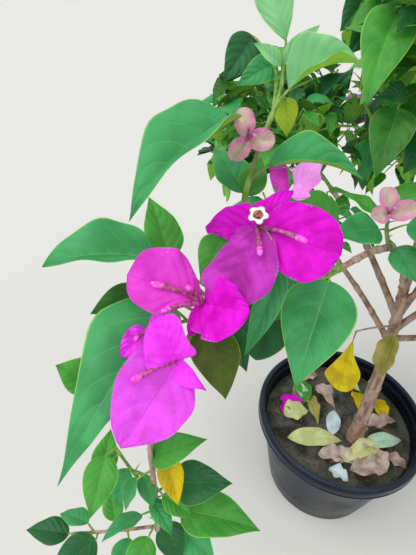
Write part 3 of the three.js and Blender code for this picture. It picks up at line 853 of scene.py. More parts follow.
def veins(tree, pairs=VEIN_PAIRS, sweep=VEIN_SWEEP, breadth=VEIN_BREADTH):
    """From a blade's UV map: its vein lines, its margin, how far off the middle, and its swelling."""
    uv = add_node(tree, "ShaderNodeSeparateXYZ", {0: add_node(tree, "ShaderNodeUVMap", uv_map="UVMap")})
    signed = add_node(tree, "ShaderNodeMath", {0: uv.outputs["Y"], 1: 2, 2: -1}, operation="MULTIPLY_ADD")
    off = add_node(tree, "ShaderNodeMath", {0: signed}, operation="ABSOLUTE")
    bent = add_node(tree, "ShaderNodeMath", {0: off, 1: 1.3}, operation="POWER")
    swept = add_node(tree, "ShaderNodeMath", {0: bent, 1: -sweep, 2: uv.outputs["X"]},
                     operation="MULTIPLY_ADD")
    on_right = add_node(tree, "ShaderNodeMath", {0: signed, 1: 0}, operation="GREATER_THAN")
    stepped = add_node(tree, "ShaderNodeMath", {0: on_right, 1: 0.5 / pairs, 2: swept},
                       operation="MULTIPLY_ADD")
    to_vein = add_node(tree, "ShaderNodeMath", {0: stepped, 1: 0.5 / pairs}, operation="PINGPONG")
    fade = add_node(tree, "ShaderNodeMapRange", {0: off, 1: 0.5, 2: 0.95, 3: 0.5, 4: 0})
    side = add_node(tree, "ShaderNodeMapRange", {0: to_vein, 1: 0, 2: breadth, 3: 1, 4: 0}, **SMOOTH)
    side = add_node(tree, "ShaderNodeMath", {0: side, 1: fade}, operation="MULTIPLY")
    midrib = add_node(tree, "ShaderNodeMapRange", {0: off, 1: 0.008, 2: 0.028, 3: 1, 4: 0}, **SMOOTH)
    lines = add_node(tree, "ShaderNodeMath", {0: midrib, 1: side}, operation="MAXIMUM")
    margin = add_node(tree, "ShaderNodeMapRange", {0: off, 1: 0.94, 2: 1, 3: 0, 4: 0.8}, **SMOOTH)
    swelling = add_node(tree, "ShaderNodeMapRange", {0: to_vein, 1: 0, 2: 0.4 / pairs, 3: 0, 4: 1}, **SMOOTH)
    return lines, margin, off, swelling


def leaf_finish(name, dark, light, vein, margin, roughness,
                vein_share=0.42, swell_depth=0.3, glow=0.03):
    """A leaf's skin: two tones in patches, paler veins, a thin margin and a quilted relief."""
    # emission on each skin is a painted glow for daylight that comes through the leaf: faint on the upper
    # skin, stronger below
    material, tree, skin = new_finish(
        name, Specular_IOR_Level=0.28, Subsurface_Weight=0.1,
        Subsurface_Radius=(0.6, 1.0, 0.25), Subsurface_Scale=1.2 * MM,
        Emission_Color=linear(light), Emission_Strength=glow,
    )
    lines, edge, off, swelling = veins(tree)
    cloud = patches(tree, 22)
    tone = two_tones(tree, cloud, dark, light)
    share = add_node(tree, "ShaderNodeMath", {0: lines, 1: vein_share}, operation="MULTIPLY")
    ribbed = add_node(tree, "ShaderNodeMix", {"Factor": share, "A": tone, "B": vein}, **COLOUR)
    edged = add_node(tree, "ShaderNodeMix", {"Factor": edge, "A": ribbed, "B": margin}, **COLOUR)
    pillow = add_node(tree, "ShaderNodeMath", {0: lines, 1: -0.6, 2: swelling}, operation="MULTIPLY_ADD")
    finish_skin(tree, skin, edged, (cloud, roughness - 0.06, roughness + 0.08), pillow, swell_depth)
    return material


LEAF_TONES = {
    # upper skin: dark, light, vein, margin, roughness; underside: dark, light
    "mature": ("#379050", "#45a460", "#98cf9c", "#a8d065", 0.5, "#5f9a2a", "#78b038"),
    "fresh": ("#3f9032", "#50a23e", "#98c878", "#a8cf5c", 0.5, "#629c2c", "#78b23a"),
    "tender": ("#56a044", "#6cb456", "#a8d28c", "#b4d870", 0.5, "#6cac30", "#82be44"),
    "young": ("#76ba7a", "#88cc8a", "#b8deaa", "#b4da84", 0.52, "#70b024", "#88c43c"),
    # shaded is a darker copy of the green that paints shade, and deep is a darker green that also paints
    # shade on leaves that hang in shadow
    "shaded": ("#26611e", "#377826", "#6a9c58", "#74a448", 0.45, "#4a7c28", "#5a8c30"),
    "deep": ("#1d5a2c", "#276a38", "#5a9658", "#659a44", 0.45, "#40732c", "#4f8234"),
    "olive": ("#3f5212", "#52671c", "#7d8b3c", "#83923e", 0.5, "#647a2e", "#748a38"),
    "lime": ("#8aa818", "#a6c22a", "#bccf60", "#b4cc3c", 0.5, "#90a824", "#a4bc34"),
    "yellow": ("#b89e00", "#dcc406", "#a8a81c", "#d2b80c", 0.55, "#bca614", "#d2be22"),
    "straw": ("#bac27c", "#d6dba0", "#e4e4b4", "#c8c07a", 0.7, "#b0aa6a", "#c8c080"),
    "withered": ("#8f8a40", "#b0a95c", "#c6be7c", "#a39a50", 0.7, "#98904a", "#b2a860"),
    "dry": ("#9a8178", "#cfb9ae", "#8a7066", "#a88a7c", 0.85, "#a58c80", "#c8b0a4"),
    "sage": ("#9fc6a8", "#bcdcc0", "#d8ecd0", "#b0cc9c", 0.65, "#a0c0a0", "#b4ceac"),
    "silver": ("#bccdd8", "#dfeaf2", "#eef4f6", "#ccd8de", 0.6, "#b8c6ca", "#ccd8dc"),
}
blade_finishes = {}
for tone, (dark, light, vein, margin, roughness, under_dark, under_light) in LEAF_TONES.items():
    blade_finishes[tone] = [
        leaf_finish(tone + "_leaf", dark, light, vein, margin, roughness),
        leaf_finish(tone + "_leaf_underside", under_dark, under_light, vein, margin, 0.62, 0.5, 0.25, 0.2),
    ]
SLOTS = {tone: "foliage" for tone in LEAF_TONES}
SLOTS.update({tone: "young_leaf" for tone in ("tender", "young", "lime")})
SLOTS.update({tone: "dry_leaf" for tone in ("straw", "withered", "dry", "sage", "silver")})
SLOTS["yellow"] = "yellow_leaf"
print("leaf finishes:", sorted(blade_finishes))

# %% [markdown]
# A blade is a closed thin shell: an upper and a lower skin that share their border. Its width
# follows one smooth formula, t^a (1-t)^b, where t is the share of its length: a sets how full the
# base is and b how drawn out the tip. A blade seen close up may have its own outline on each side
# instead. Then it is bent like a real one: it folds along its midrib, each half domes or cups, the
# whole arches, the tip curls and the margin waves. A bract is such a blade too, thinner, rounder
# and crinkled like tissue paper.

# %% Blades
LEAF = {
    "outline": (0.6, 1.2), "fold": 10, "dome": 0.1, "cup": 0.0, "bow": 0.05, "curl": 0.05,
    "wave": 0.07, "waves": 2.3, "sway": 0.0, "crinkle": 0.35, "thick": 0.8,
}
BRACT = {
    "outline": (0.42, 0.7), "fold": 7, "dome": 0.1, "cup": 0.05, "bow": 0.05, "curl": 0.0,
    "wave": 0.1, "waves": 2.6, "sway": 0.0, "crinkle": 1.9, "thick": 0.45,
}
OUTLINE_STEPS = 150
HALF_COLUMNS = np.array([0.09, 0.23, 0.42, 0.62, 0.8, 0.93, 1])


def blade_grid(rows, columns):
    """The point numbers, faces, UV corners, finish numbers and shares of a blade's grid."""
    last = len(columns) - 1
    upper = np.zeros((rows + 1, last + 1), int)
    upper[rows] = 1
    upper[1:rows] = 2 + np.arange((rows - 1) * (last + 1)).reshape(rows - 1, last + 1)
    lower = upper.copy()
    first_below = 2 + (rows - 1) * (last + 1)
    lower[1:rows, 1:last] = first_below + np.arange((rows - 1) * (last - 1)).reshape(rows - 1, last - 1)
    shares = (1 - np.cos(np.pi * np.arange(rows + 1) / rows)) / 2
    faces, corners, finishes = [], [], []
    for finish, skin_points in enumerate((upper, lower)):
        for r in range(rows):
            for c in range(last):
                cells = [(r, c), (r, c + 1), (r + 1, c + 1), (r + 1, c)]
                if r == 0:
                    cells.pop(1)
                if r == rows - 1:
                    cells.pop(2)
                if finish == 1:
                    cells.reverse()
                faces.append([int(skin_points[cell]) for cell in cells])
                corners += [(shares[i], (columns[j] + 1) / 2) for i, j in cells]
                finishes.append(finish)
    return upper, lower, faces, corners, finishes, shares, columns


FINE_GRID = blade_grid(30, np.concatenate([-HALF_COLUMNS[::-1], [0], HALF_COLUMNS]))


def half_width(form, side, t):
    """How wide one side of a blade is at shares of its length, where 1 is half its whole width."""
    if side in form:
        corners = [[share, out, 0] for share, out in form[side].items()]
        path = smooth_line([[0, 0, 0], *corners, [1, 0, 0]])
        share, out, _ = path.points(np.linspace(0, 1, OUTLINE_STEPS)).T
        return np.interp(t, np.maximum.accumulate(share), np.maximum(out, 0))
    full, drawn = form["outline"]
    widest = full / (full + drawn)
    return t ** full * (1 - t) ** drawn / (widest ** full * (1 - widest) ** drawn)


def blade_surface(shares, columns, length, width, form, seed):
    """Upper and lower skins as grids of points: across, along and up, in millimetres."""
    t, s = shares[:, None], columns[None, :]
    half = width / 2 * np.where(s > 0, half_width(form, "right", t), half_width(form, "left", t))
    fold = math.radians(form["fold"])
    flat = half * s
    soft = 0.03 * width
    raised = np.sqrt(flat ** 2 + soft ** 2) - soft
    lift = raised * math.sin(fold)
    lift += form["dome"] * half * 4 * np.abs(s) * (1 - np.abs(s)) + form["cup"] * half * s ** 2
    lift += form["bow"] * length * 4 * t * (1 - t)
    lift -= form["curl"] * length * np.clip((t - 0.5) / 0.5, 0, 1) ** 2
    beat = 2 * math.pi * (form["waves"] * t + 0.37 * seed) + 2.1 * (s > 0)
    lift += form["wave"] * half * np.abs(s) ** 3 * np.sin(beat)
    across = flat * math.cos(fold) + form["sway"] * length * 4 * t * (1 - t)
    along = t * length + 0 * s
    cells = np.array([
        noise.noise(Vector((x / 16, y / 16, seed))) + 0.35 * noise.noise(Vector((x / 6, y / 6, seed)))
        for x, y in zip(across.ravel(), along.ravel())
    ]).reshape(across.shape)
    lift += form["crinkle"] * cells * np.clip(8 * t * (1 - t), 0, 1)
    top = np.stack([across, along, lift], axis=2)
    normal = np.cross(np.gradient(top, axis=1), np.gradient(top, axis=0))
    normal /= np.linalg.norm(normal, axis=2)[:, :, None] + 1e-9
    body = np.clip(7 * t * (1 - t), 0, 1) * (1 - np.abs(s) ** 4)
    rib = 1 + 0.7 * (1 - t) * np.exp(-(s / 0.08) ** 2)
    return top, top - normal * (form["thick"] * body * rib)[:, :, None]


def add_blade(heap, base, along, facing, length, width, form, seed, grid=FINE_GRID):
    """Adds one blade. Its upper skin has the heap's first finish and its lower skin the second."""
    upper, lower, faces, corners, finishes, shares, columns = grid
    top, bottom = blade_surface(shares, columns, length, width, form, seed)
    points = np.zeros((lower.max() + 1, 3))
    points[upper] = top
    points[lower[1:-1, 1:-1]] = bottom[1:-1, 1:-1]
    frame_of_blade = np.array([np.cross(along, facing), along, facing])
    placed = base + points @ frame_of_blade
    heap.add(placed, faces, corners, finishes)
    return placed


print("a fine blade has", len(FINE_GRID[2]), "faces")

# %% [markdown]
# What looks like a petal is a bract, a coloured leaf round the real flowers. It is papery and
# nearly matt, with a strong magenta that is deeper along its fine branching veins. Its tone
# tells how old it is; the lit and the shaded kinds are lighter and darker copies of the magenta
# that paint light and shade, and each kind's glow is painted light for the daylight that comes
# through. Each kind has its own pair of finishes.
# Bracts that have just opened are still buff, with pink margins.
# The true flower is a slim tube, ribbed and dull pink, that swells into a bright bud and opens
# into a small cream star with a brown-yellow throat.

# %% Bract and flower finishes
def bract_finish(name, tint, deep, bright, vein, rim, rim_share, glow, swell_depth):
    """Tissue-like bract: fine veins a little deeper than the paper between, and its rim's tint."""
    # emission is a painted glow for daylight that comes through the paper
    material, tree, skin = new_finish(
        name, Specular_IOR_Level=0.12, Subsurface_Weight=0.2,
        Subsurface_Radius=(1.0, 0.15, 0.8), Subsurface_Scale=1.2 * MM,
        Emission_Color=linear(bright), Emission_Strength=glow,
    )
    lines, edge, off, swelling = veins(tree, pairs=5.0, sweep=0.42, breadth=0.012)
    cloud = patches(tree, 15, detail=3.0)
    paper = two_tones(tree, cloud, deep, bright)
    rimmed = spotted(tree, paper, rim, off, 0.25, 0.95, rim_share)
    net = patches(tree, 4, detail=6.0)
    fine = add_node(tree, "ShaderNodeMapRange", {0: net, 1: 0.52, 2: 0.62, 3: 0, 4: 0.3}, **SMOOTH)
    both = add_node(tree, "ShaderNodeMath", {0: lines, 1: fine}, operation="MAXIMUM")
    share = add_node(tree, "ShaderNodeMath", {0: both, 1: 0.5}, operation="MULTIPLY")
    veined = add_node(tree, "ShaderNodeMix", {"Factor": share, "A": rimmed, "B": vein}, **COLOUR)
    relief = add_node(tree, "ShaderNodeMath", {0: net, 1: 1.0, 2: swelling}, operation="MULTIPLY_ADD")
    tinted = add_node(tree, "ShaderNodeMix", {"Factor": tint, "A": veined, "B": UNDERSIDE_COLOUR}, **COLOUR)
    finish_skin(tree, skin, tinted, (cloud, 0.5, 0.66), relief, swell_depth)
    return material


BRACT_TONES = {
    # deep, bright, vein, rim, how far the rim's tint spreads, glow, depth of the swelling
    "bract": ("#c804b2", "#e41ad8", "#ac0492", "#dc0ec8", 0.4, 0.1, 0.55),
    "soft_bract": ("#d034bc", "#e64ad2", "#b42aa0", "#de40ca", 0.4, 0.1, 0.55),
    # a darker copy of the magenta that paints shade on a bract that hangs in shadow
    "dusky_bract": ("#a42a94", "#c840c2", "#8c1e7e", "#c234ba", 0.4, 0.08, 0.5),
    "violet_bract": ("#cc4aca", "#e456ec", "#ac3cae", "#e64eea", 0.4, 0.1, 0.5),
    # a lighter copy of the magenta that paints light on bracts that face the sun
    "lit_bract": ("#ee34e8", "#fc4cfc", "#cc22c6", "#fa46fa", 0.4, 0.1, 0.55),
    # a pale copy with the strongest painted glow, for back bracts lit through from behind
    "pale_bract": ("#f884f2", "#ffa8ff", "#dc68d0", "#ff9cfa", 0.4, 0.25, 0.55),
    "young_bract": ("#bea696", "#d2bcb0", "#a89c84", "#dc80b4", 0.9, 0.02, 0.15),
}
UNDERSIDE_TINT = 0.2
UNDERSIDE_COLOUR = "#88a888"
for kind, tones in BRACT_TONES.items():
    blade_finishes[kind] = [
        bract_finish("papery_" + kind, 0, *tones),
        bract_finish("papery_" + kind + "_underside", UNDERSIDE_TINT, *tones),
    ]
    SLOTS[kind] = "bract"


def flower_finish(name, shade, lit, roughness):
    """A small flower part: two tones in streaks a millimetre wide."""
    material, tree, skin = new_finish(name, Roughness=roughness, Subsurface_Weight=0.1,
                                      Subsurface_Radius=(1, 0.4, 0.5), Subsurface_Scale=MM)
    finish_skin(tree, skin, two_tones(tree, patches(tree, 2.0, (1, 1, 0.4), 3.0), shade, lit))
    return material


flower_finishes = [
    flower_finish("ribbed_flower_tube", "#8f3768", "#cc6fa6", 0.55),
    flower_finish("closed_flower_bud", "#f234d2", "#ff7ce8", 0.45),
    flower_finish("cream_star_lobes", "#f6ecdc", "#fffdf6", 0.5),
    flower_finish("flower_throat", "#6b3d12", "#b98a2c", 0.6),
]
TUBE, BUD, STAR, THROAT = range(4)
print("bract finishes:", sorted(BRACT_TONES), "flower finishes:", len(flower_finishes))

# %% [markdown]
# A flower is a tube of rings along a slightly bent line. The rings swell at the foot, narrow,
# and swell again below the mouth, and five ribs run up it. A closed flower ends in a rounded
# bud. An open one ends in a flat star with five blunt lobes round a sunken throat.

# %% Flowers
FLOWER_SIDES = 15
LOBES = 5
TUBE_RADII = [[0, 0.5], [0.05, 1.1], [0.2, 1.65], [0.42, 1.15], [0.62, 1.35], [0.8, 1.75]]
BUD_RADII = [[0.86, 1.95], [0.93, 1.85], [0.98, 1.1]]


def add_flower(heap, foot, along, length, is_open, scale=1.0):
    """A ribbed tube with a closed bud, or with an open star."""
    side, over = across_frame(along)
    outline = TUBE_RADII + ([] if is_open else BUD_RADII)
    points = [foot]
    for share, radius in outline:
        centre = foot + along * share * length + over * 0.05 * length * math.sin(math.pi * share)
        for j in range(FLOWER_SIDES):
            angle = 2 * math.pi * j / FLOWER_SIDES
            out = scale * radius * (1 + 0.1 * math.cos(LOBES * angle))
            points.append(centre + out * (math.cos(angle) * side + math.sin(angle) * over))
    end = foot + along * length * (0.8 if is_open else 1)
    points.append(end)
    parts = [TUBE] + [BUD if share >= 0.8 and not is_open else TUBE for share, _ in outline]
    owners = [part for part in parts for _ in range(FLOWER_SIDES)]
    heap.add(points, tube_faces(len(outline), FLOWER_SIDES), None, owners)
    if is_open:
        add_star(heap, end, along, side, over, scale)


STAR_SIDES = 40
STAR_RINGS = [[0.0, -1.6], [1.1, -1.2], [1.9, 0.3], [3.2, 0.9], [5.0, 1.1], [6.3, 0.8]]
STAR_THICKNESS = 0.5


def add_star(heap, centre, along, side, over, scale):
    """Five blunt lobes round a throat: an upper and a lower skin that meet at the rim."""
    def ring_points(radius, height):
        lobed = max(0, (radius - 2.2) / 4.1)
        found = []
        for j in range(STAR_SIDES):
            angle = 2 * math.pi * j / STAR_SIDES
            out = scale * radius * (1 - 0.3 * lobed * (0.5 + 0.5 * math.cos(LOBES * angle)) ** 1.5)
            up_by = scale * (height + 0.35 * lobed * math.cos(LOBES * angle))
            found.append(centre + out * (math.cos(angle) * side + math.sin(angle) * over) + up_by * along)
        return found

    points = [centre + along * STAR_RINGS[0][1]]
    for radius, height in STAR_RINGS[1:]:
        points += ring_points(radius, height)
    for radius, height in STAR_RINGS[-2:0:-1]:
        points += ring_points(radius, height - STAR_THICKNESS)
    points.append(centre + along * (STAR_RINGS[0][1] - STAR_THICKNESS))
    rings = (len(points) - 2) // STAR_SIDES
    faces = [face[::-1] for face in tube_faces(rings, STAR_SIDES)]
    heap.add(points, faces, None, [THROAT] * 3 * STAR_SIDES + [STAR] * (rings - 2) * STAR_SIDES)


sample = Heap()
add_flower(sample, np.zeros(3), np.array([0.6, 0, 0.8]), 25, True)
print("an open flower has", len(sample.faces), "faces")

# %% [markdown]
# The sprays at the end of the cane are seen close up, so each shoot, leaf and bract there is
# placed one by one from measurements, in millimetres. First come the shoots, as a few points that
# their lines pass through and the radius at each end. The lower stretch of an old shoot is woody.
# A fourth spray rises out of the top mass, where large leaves hang in front of the crown.

# %% Shoots of the sprays, measured
SHOOTS = {
    # the points that its line passes through, its radius at both ends, and where it turns woody
    "flowering_spray": {
        "shoot": ([[-149, -184, 663], [-191, -213, 688], [-231, -224, 712], [-236, -210, 736],
                   [-227, -191, 769], [-218, -177, 794], [-216, -165, 817]], [2.5, 1.3], 1),
        "back_twig": ([[-221, -182, 785], [-219, -154, 801], [-226, -136, 811]], [1.4, 1.0], 1),
    },
    "drooping_spray": {
        "shoot": ([[-145, -180, 661], [-177, -204, 663], [-212, -227, 674], [-254, -243, 673],
                   [-275, -261, 629], [-296, -280, 565], [-296, -289, 520], [-294, -296, 482],
                   [-292, -305, 443]], [2.6, 2.2], 0.62),
        "low_twig": ([[-294, -294, 485], [-312, -286, 505], [-328, -278, 532]], [1.7, 1.2], 1),
        "out_twig": ([[-292, -304, 448], [-330, -306, 438], [-372, -305, 424]], [1.7, 1.2], 0),
    },
    "side_spray": {
        "shoot": ([[-79, -108, 640], [-84, -104, 656], [-92, -110, 684]], [2, 1.2], 1),
    },
    "upper_spray": {
        "shoot": ([[12, 2, 686], [-14, 14, 742], [-52, 30, 796], [-84, 44, 838]], [2.2, 1.2], 1),
        "front_twig": ([[-25, 19, 759], [-54, -6, 761], [-80, -36, 760]], [1.5, 1.0], 1),
    },
}
SPRAY_OWNERS = {"upper_spray": "top_foliage"}
print("shoots:", sum(len(shoots) for shoots in SHOOTS.values()))

# %% [markdown]
# Each row is one leaf: where its stalk leaves the shoot, the stalk's length, heading and rise, the
# blade's length, heading and rise, its width, and how far it is turned about its length. The last
# entry is its tone, which tells its age, and where needed how it is bent; the shaded and deep
# tones are darker greens that paint shade. A leaf of an unusual shape also gives its outline: for
# each side, how wide it is at some shares of the length, where 1 is half the whole width.

# %% Leaves of the sprays, measured
LEAF_ROWS = {
    ("flowering_spray", "shoot"): [
        [0.07, 35, -107, 18, 82, -112, -26, 51, 0, {"fold": 6, "dome": 0.12, "wave": 0.05}],
        [0.02, 38, 119, 73, 56, -166, 28, 34, -36, "fresh"],
        [0.36, 31, 19, -42, 41, -120, -39, 37, -13, "mature"],
        [0.16, 38, -159, -30, 54, -108, -45, 42, -7, {"tone": "deep", "outline": (0.6, 0.7)}],
        [0.45, 26, -36, -20, 65, -116, -41, 20, -22, {"fold": 16}],
        [0.46, 19, -166, 14, 36, -115, -30, 24, -20, "fresh"],
        [0.58, 8, 78, -6, 32, 67, 38, 20, 18, "fresh"],
        [0.59, 7, 102, -7, 45, 122, 25, 27, -8, "mature"],
        [0.63, 17, -4, 46, 60, -17, 4, 36, 20, {
            "bow": 0.13, "fold": 50, "dome": 0.05,
            "right": {0.1: 0.25, 0.3: 0.48, 0.5: 0.55, 0.75: 0.42, 0.92: 0.18},
        }],
        [0.76, 24, -165, 31, 94, -134, -23, 56, -2, {
            "fold": 40, "bow": 0.08, "curl": 0.06,
            "left": {0.04: 0.5, 0.14: 0.95, 0.3: 1.15, 0.5: 1.0, 0.72: 0.62, 0.9: 0.2},
        }],
        [0.82, 28, 66, 14, 27, -80, -54, 17, 18, "lime"],
        [0.85, 13, 14, 56, 47, 2, 23, 36, 24, {
            "tone": "young", "bow": 0.16, "fold": 50,
            "left": {0.04: 0.6, 0.15: 1.1, 0.35: 1.2, 0.6: 1.0, 0.83: 0.55, 0.94: 0.2},
            "right": {0.1: 0.5, 0.3: 1.0, 0.52: 1.25, 0.78: 0.95, 0.92: 0.4},
        }],
        [0.99, 8, 96, 64, 46, 133, 57, 25, -50, {"tone": "young", "fold": 18, "outline": (1.0, 0.7)}],
        [0.99, 6, -100, -56, 31, 19, 47, 13, 50, {"tone": "young", "fold": 14, "bow": 0.1}],
        [0.99, 7, -122, -51, 23, 162, 30, 11, -55, {"tone": "young", "fold": 30, "bow": 0.1}],
    ],
    ("flowering_spray", "back_twig"): [
        [1, 18, 122, 25, 40, -130, -40, 26, -45, "deep"],
        [0.8, 4, 35, 2, 35, -147, -21, 19, -50, "mature"],
    ],
    ("drooping_spray", "shoot"): [
        [0.30, 27, -87, -64, 34, -60, -44, 17, 24, "deep"],
        [0.33, 50, 174, 30, 73, -165, 5, 48, -10, {
            "fold": 36, "bow": 0.09, "dome": 0.06, "outline": (0.5, 0.8),
        }],
        [0.33, 24, -123, -40, 54, -60, -46, 34, 20, {"tone": "olive", "wave": 0.2, "sway": -0.06}],
        [0.35, 41, 153, 36, 47, 120, 45, 28, 0, "fresh"],
        [0.38, 45, 176, 22, 38, -157, -18, 21, -49, "shaded"],
        [0.41, 30, -171, 53, 128, -121, -29, 62, -10, {
            "fold": 10, "bow": 0.05,
            "right": {0.03: 0.45, 0.08: 0.8, 0.23: 1.1, 0.43: 0.9, 0.66: 0.48, 0.88: 0.12},
            "left": {0.05: 0.5, 0.3: 0.75, 0.45: 0.6, 0.63: 0.32, 0.75: 0.24, 0.88: 0.1},
        }],
        [0.57, 55, -174, 20, 28, 178, 30, 27, -36, "fresh"],
        [0.75, 2, 131, -40, 54, 2, 33, 28, 20, "fresh"],
        [0.77, 14, 20, 40, 42, -63, -40, 22, 0, "yellow"],
        [0.82, 34, 149, -27, 38, -112, -50, 23, 5, "mature"],
        [0.87, 21, 16, 34, 53, -10, 23, 36, 27, "deep"],
        [0.89, 5, -134, 42, 33, -49, -19, 19, -15, "mature"],
        [0.92, 27, 12, -32, 74, -15, 12, 45, 0, {"tone": "fresh", "fold": 13}],
        [1, 9, 43, 17, 38, -60, -31, 28, 8, "deep"],
        [1, 22, 25, -27, 47, -33, -18, 32, 17, "mature"],
        [0.93, 16, -175, -30, 40, -140, 10, 24, 30, "mature"],
        [0.97, 14, -120, -20, 42, -110, -12, 26, -14, "fresh"],
        [0.84, 12, -30, -40, 34, -20, -30, 20, 10, "fresh"],
        [0.79, 14, -150, -10, 30, -120, -50, 18, 30, "mature"],
    ],
    ("drooping_spray", "low_twig"): [
        [1, 10, -133, 9, 47, -98, -29, 28, -15, "fresh"],
        [0.9, 24, -149, -43, 36, 81, 39, 23, 18, "fresh"],
        [0.5, 9, -20, 20, 28, -60, -35, 16, 0, "mature"],
    ],
    ("drooping_spray", "out_twig"): [
        [0.7, 8, -90, 20, 46, -142, -6, 32, -20, "deep"],
        [1, 6, 180, -20, 42, 178, 2, 26, 0, "deep"],
        [0.35, 8, -70, 10, 36, -100, -10, 22, 10, "mature"],
        [0.5, 8, 95, 30, 34, 110, 20, 20, 0, "fresh"],
        [0.75, 10, 140, 25, 36, 160, -15, 22, 20, "mature"],
    ],
    ("side_spray", "shoot"): [
        [0.35, 16, -140, 20, 56, -158, 4, 37, -26, "mature"],
        [0.3, 20, -10, 35, 60, -40, 5, 40, 30, "mature"],
        [0.15, 12, -40, -25, 40, -58, -32, 31, 30, "mature"],
        [0.7, 10, 60, 10, 46, 40, 30, 29, 10, "fresh"],
        [0.55, 10, 160, 25, 44, 150, 20, 28, 0, "fresh"],
    ],
    ("upper_spray", "shoot"): [
        [0.9, 35, -114, 17, 113, -115, -38, 50, -7, {"tone": "fresh", "fold": 14, "sway": 0.04}],
        [0.9, 48, 136, 10, 46, -133, -36, 34, -41, "deep"],
        [0.8, 45, 125, 17, 62, -135, -37, 43, -40, "deep"],
        [0.3, 30, -131, -30, 58, -129, -32, 37, -17, "deep"],
        [0.72, 12, 40, 30, 64, 30, -20, 40, 20, "fresh"],
        [1, 8, 150, 40, 48, 170, 5, 28, 0, "tender"],
    ],
    ("upper_spray", "front_twig"): [
        [1, 10, -122, -35, 76, -113, -38, 42, -1, {"tone": "shaded", "fold": 14}],
        [0.6, 18, 42, 22, 68, -120, -36, 38, -7, "shaded"],
        [0.85, 6, -134, 60, 34, -158, -5, 24, -50, "deep"],
    ],
}
print("leaves:", sum(len(rows) for rows in LEAF_ROWS.values()))

# %% [markdown]
# A bloom stands on a short stalk: mostly three bracts round three flowers. Each bract is a row of
# length, heading, rise, width and turn, and most have their own outline, because no two are alike.
# A kind says how old the paper is; some kinds paint how well it is lit. A flower is a length, a
# heading and a rise, and one of them is open. A thread is the thin dry tube of a flower that has fallen.

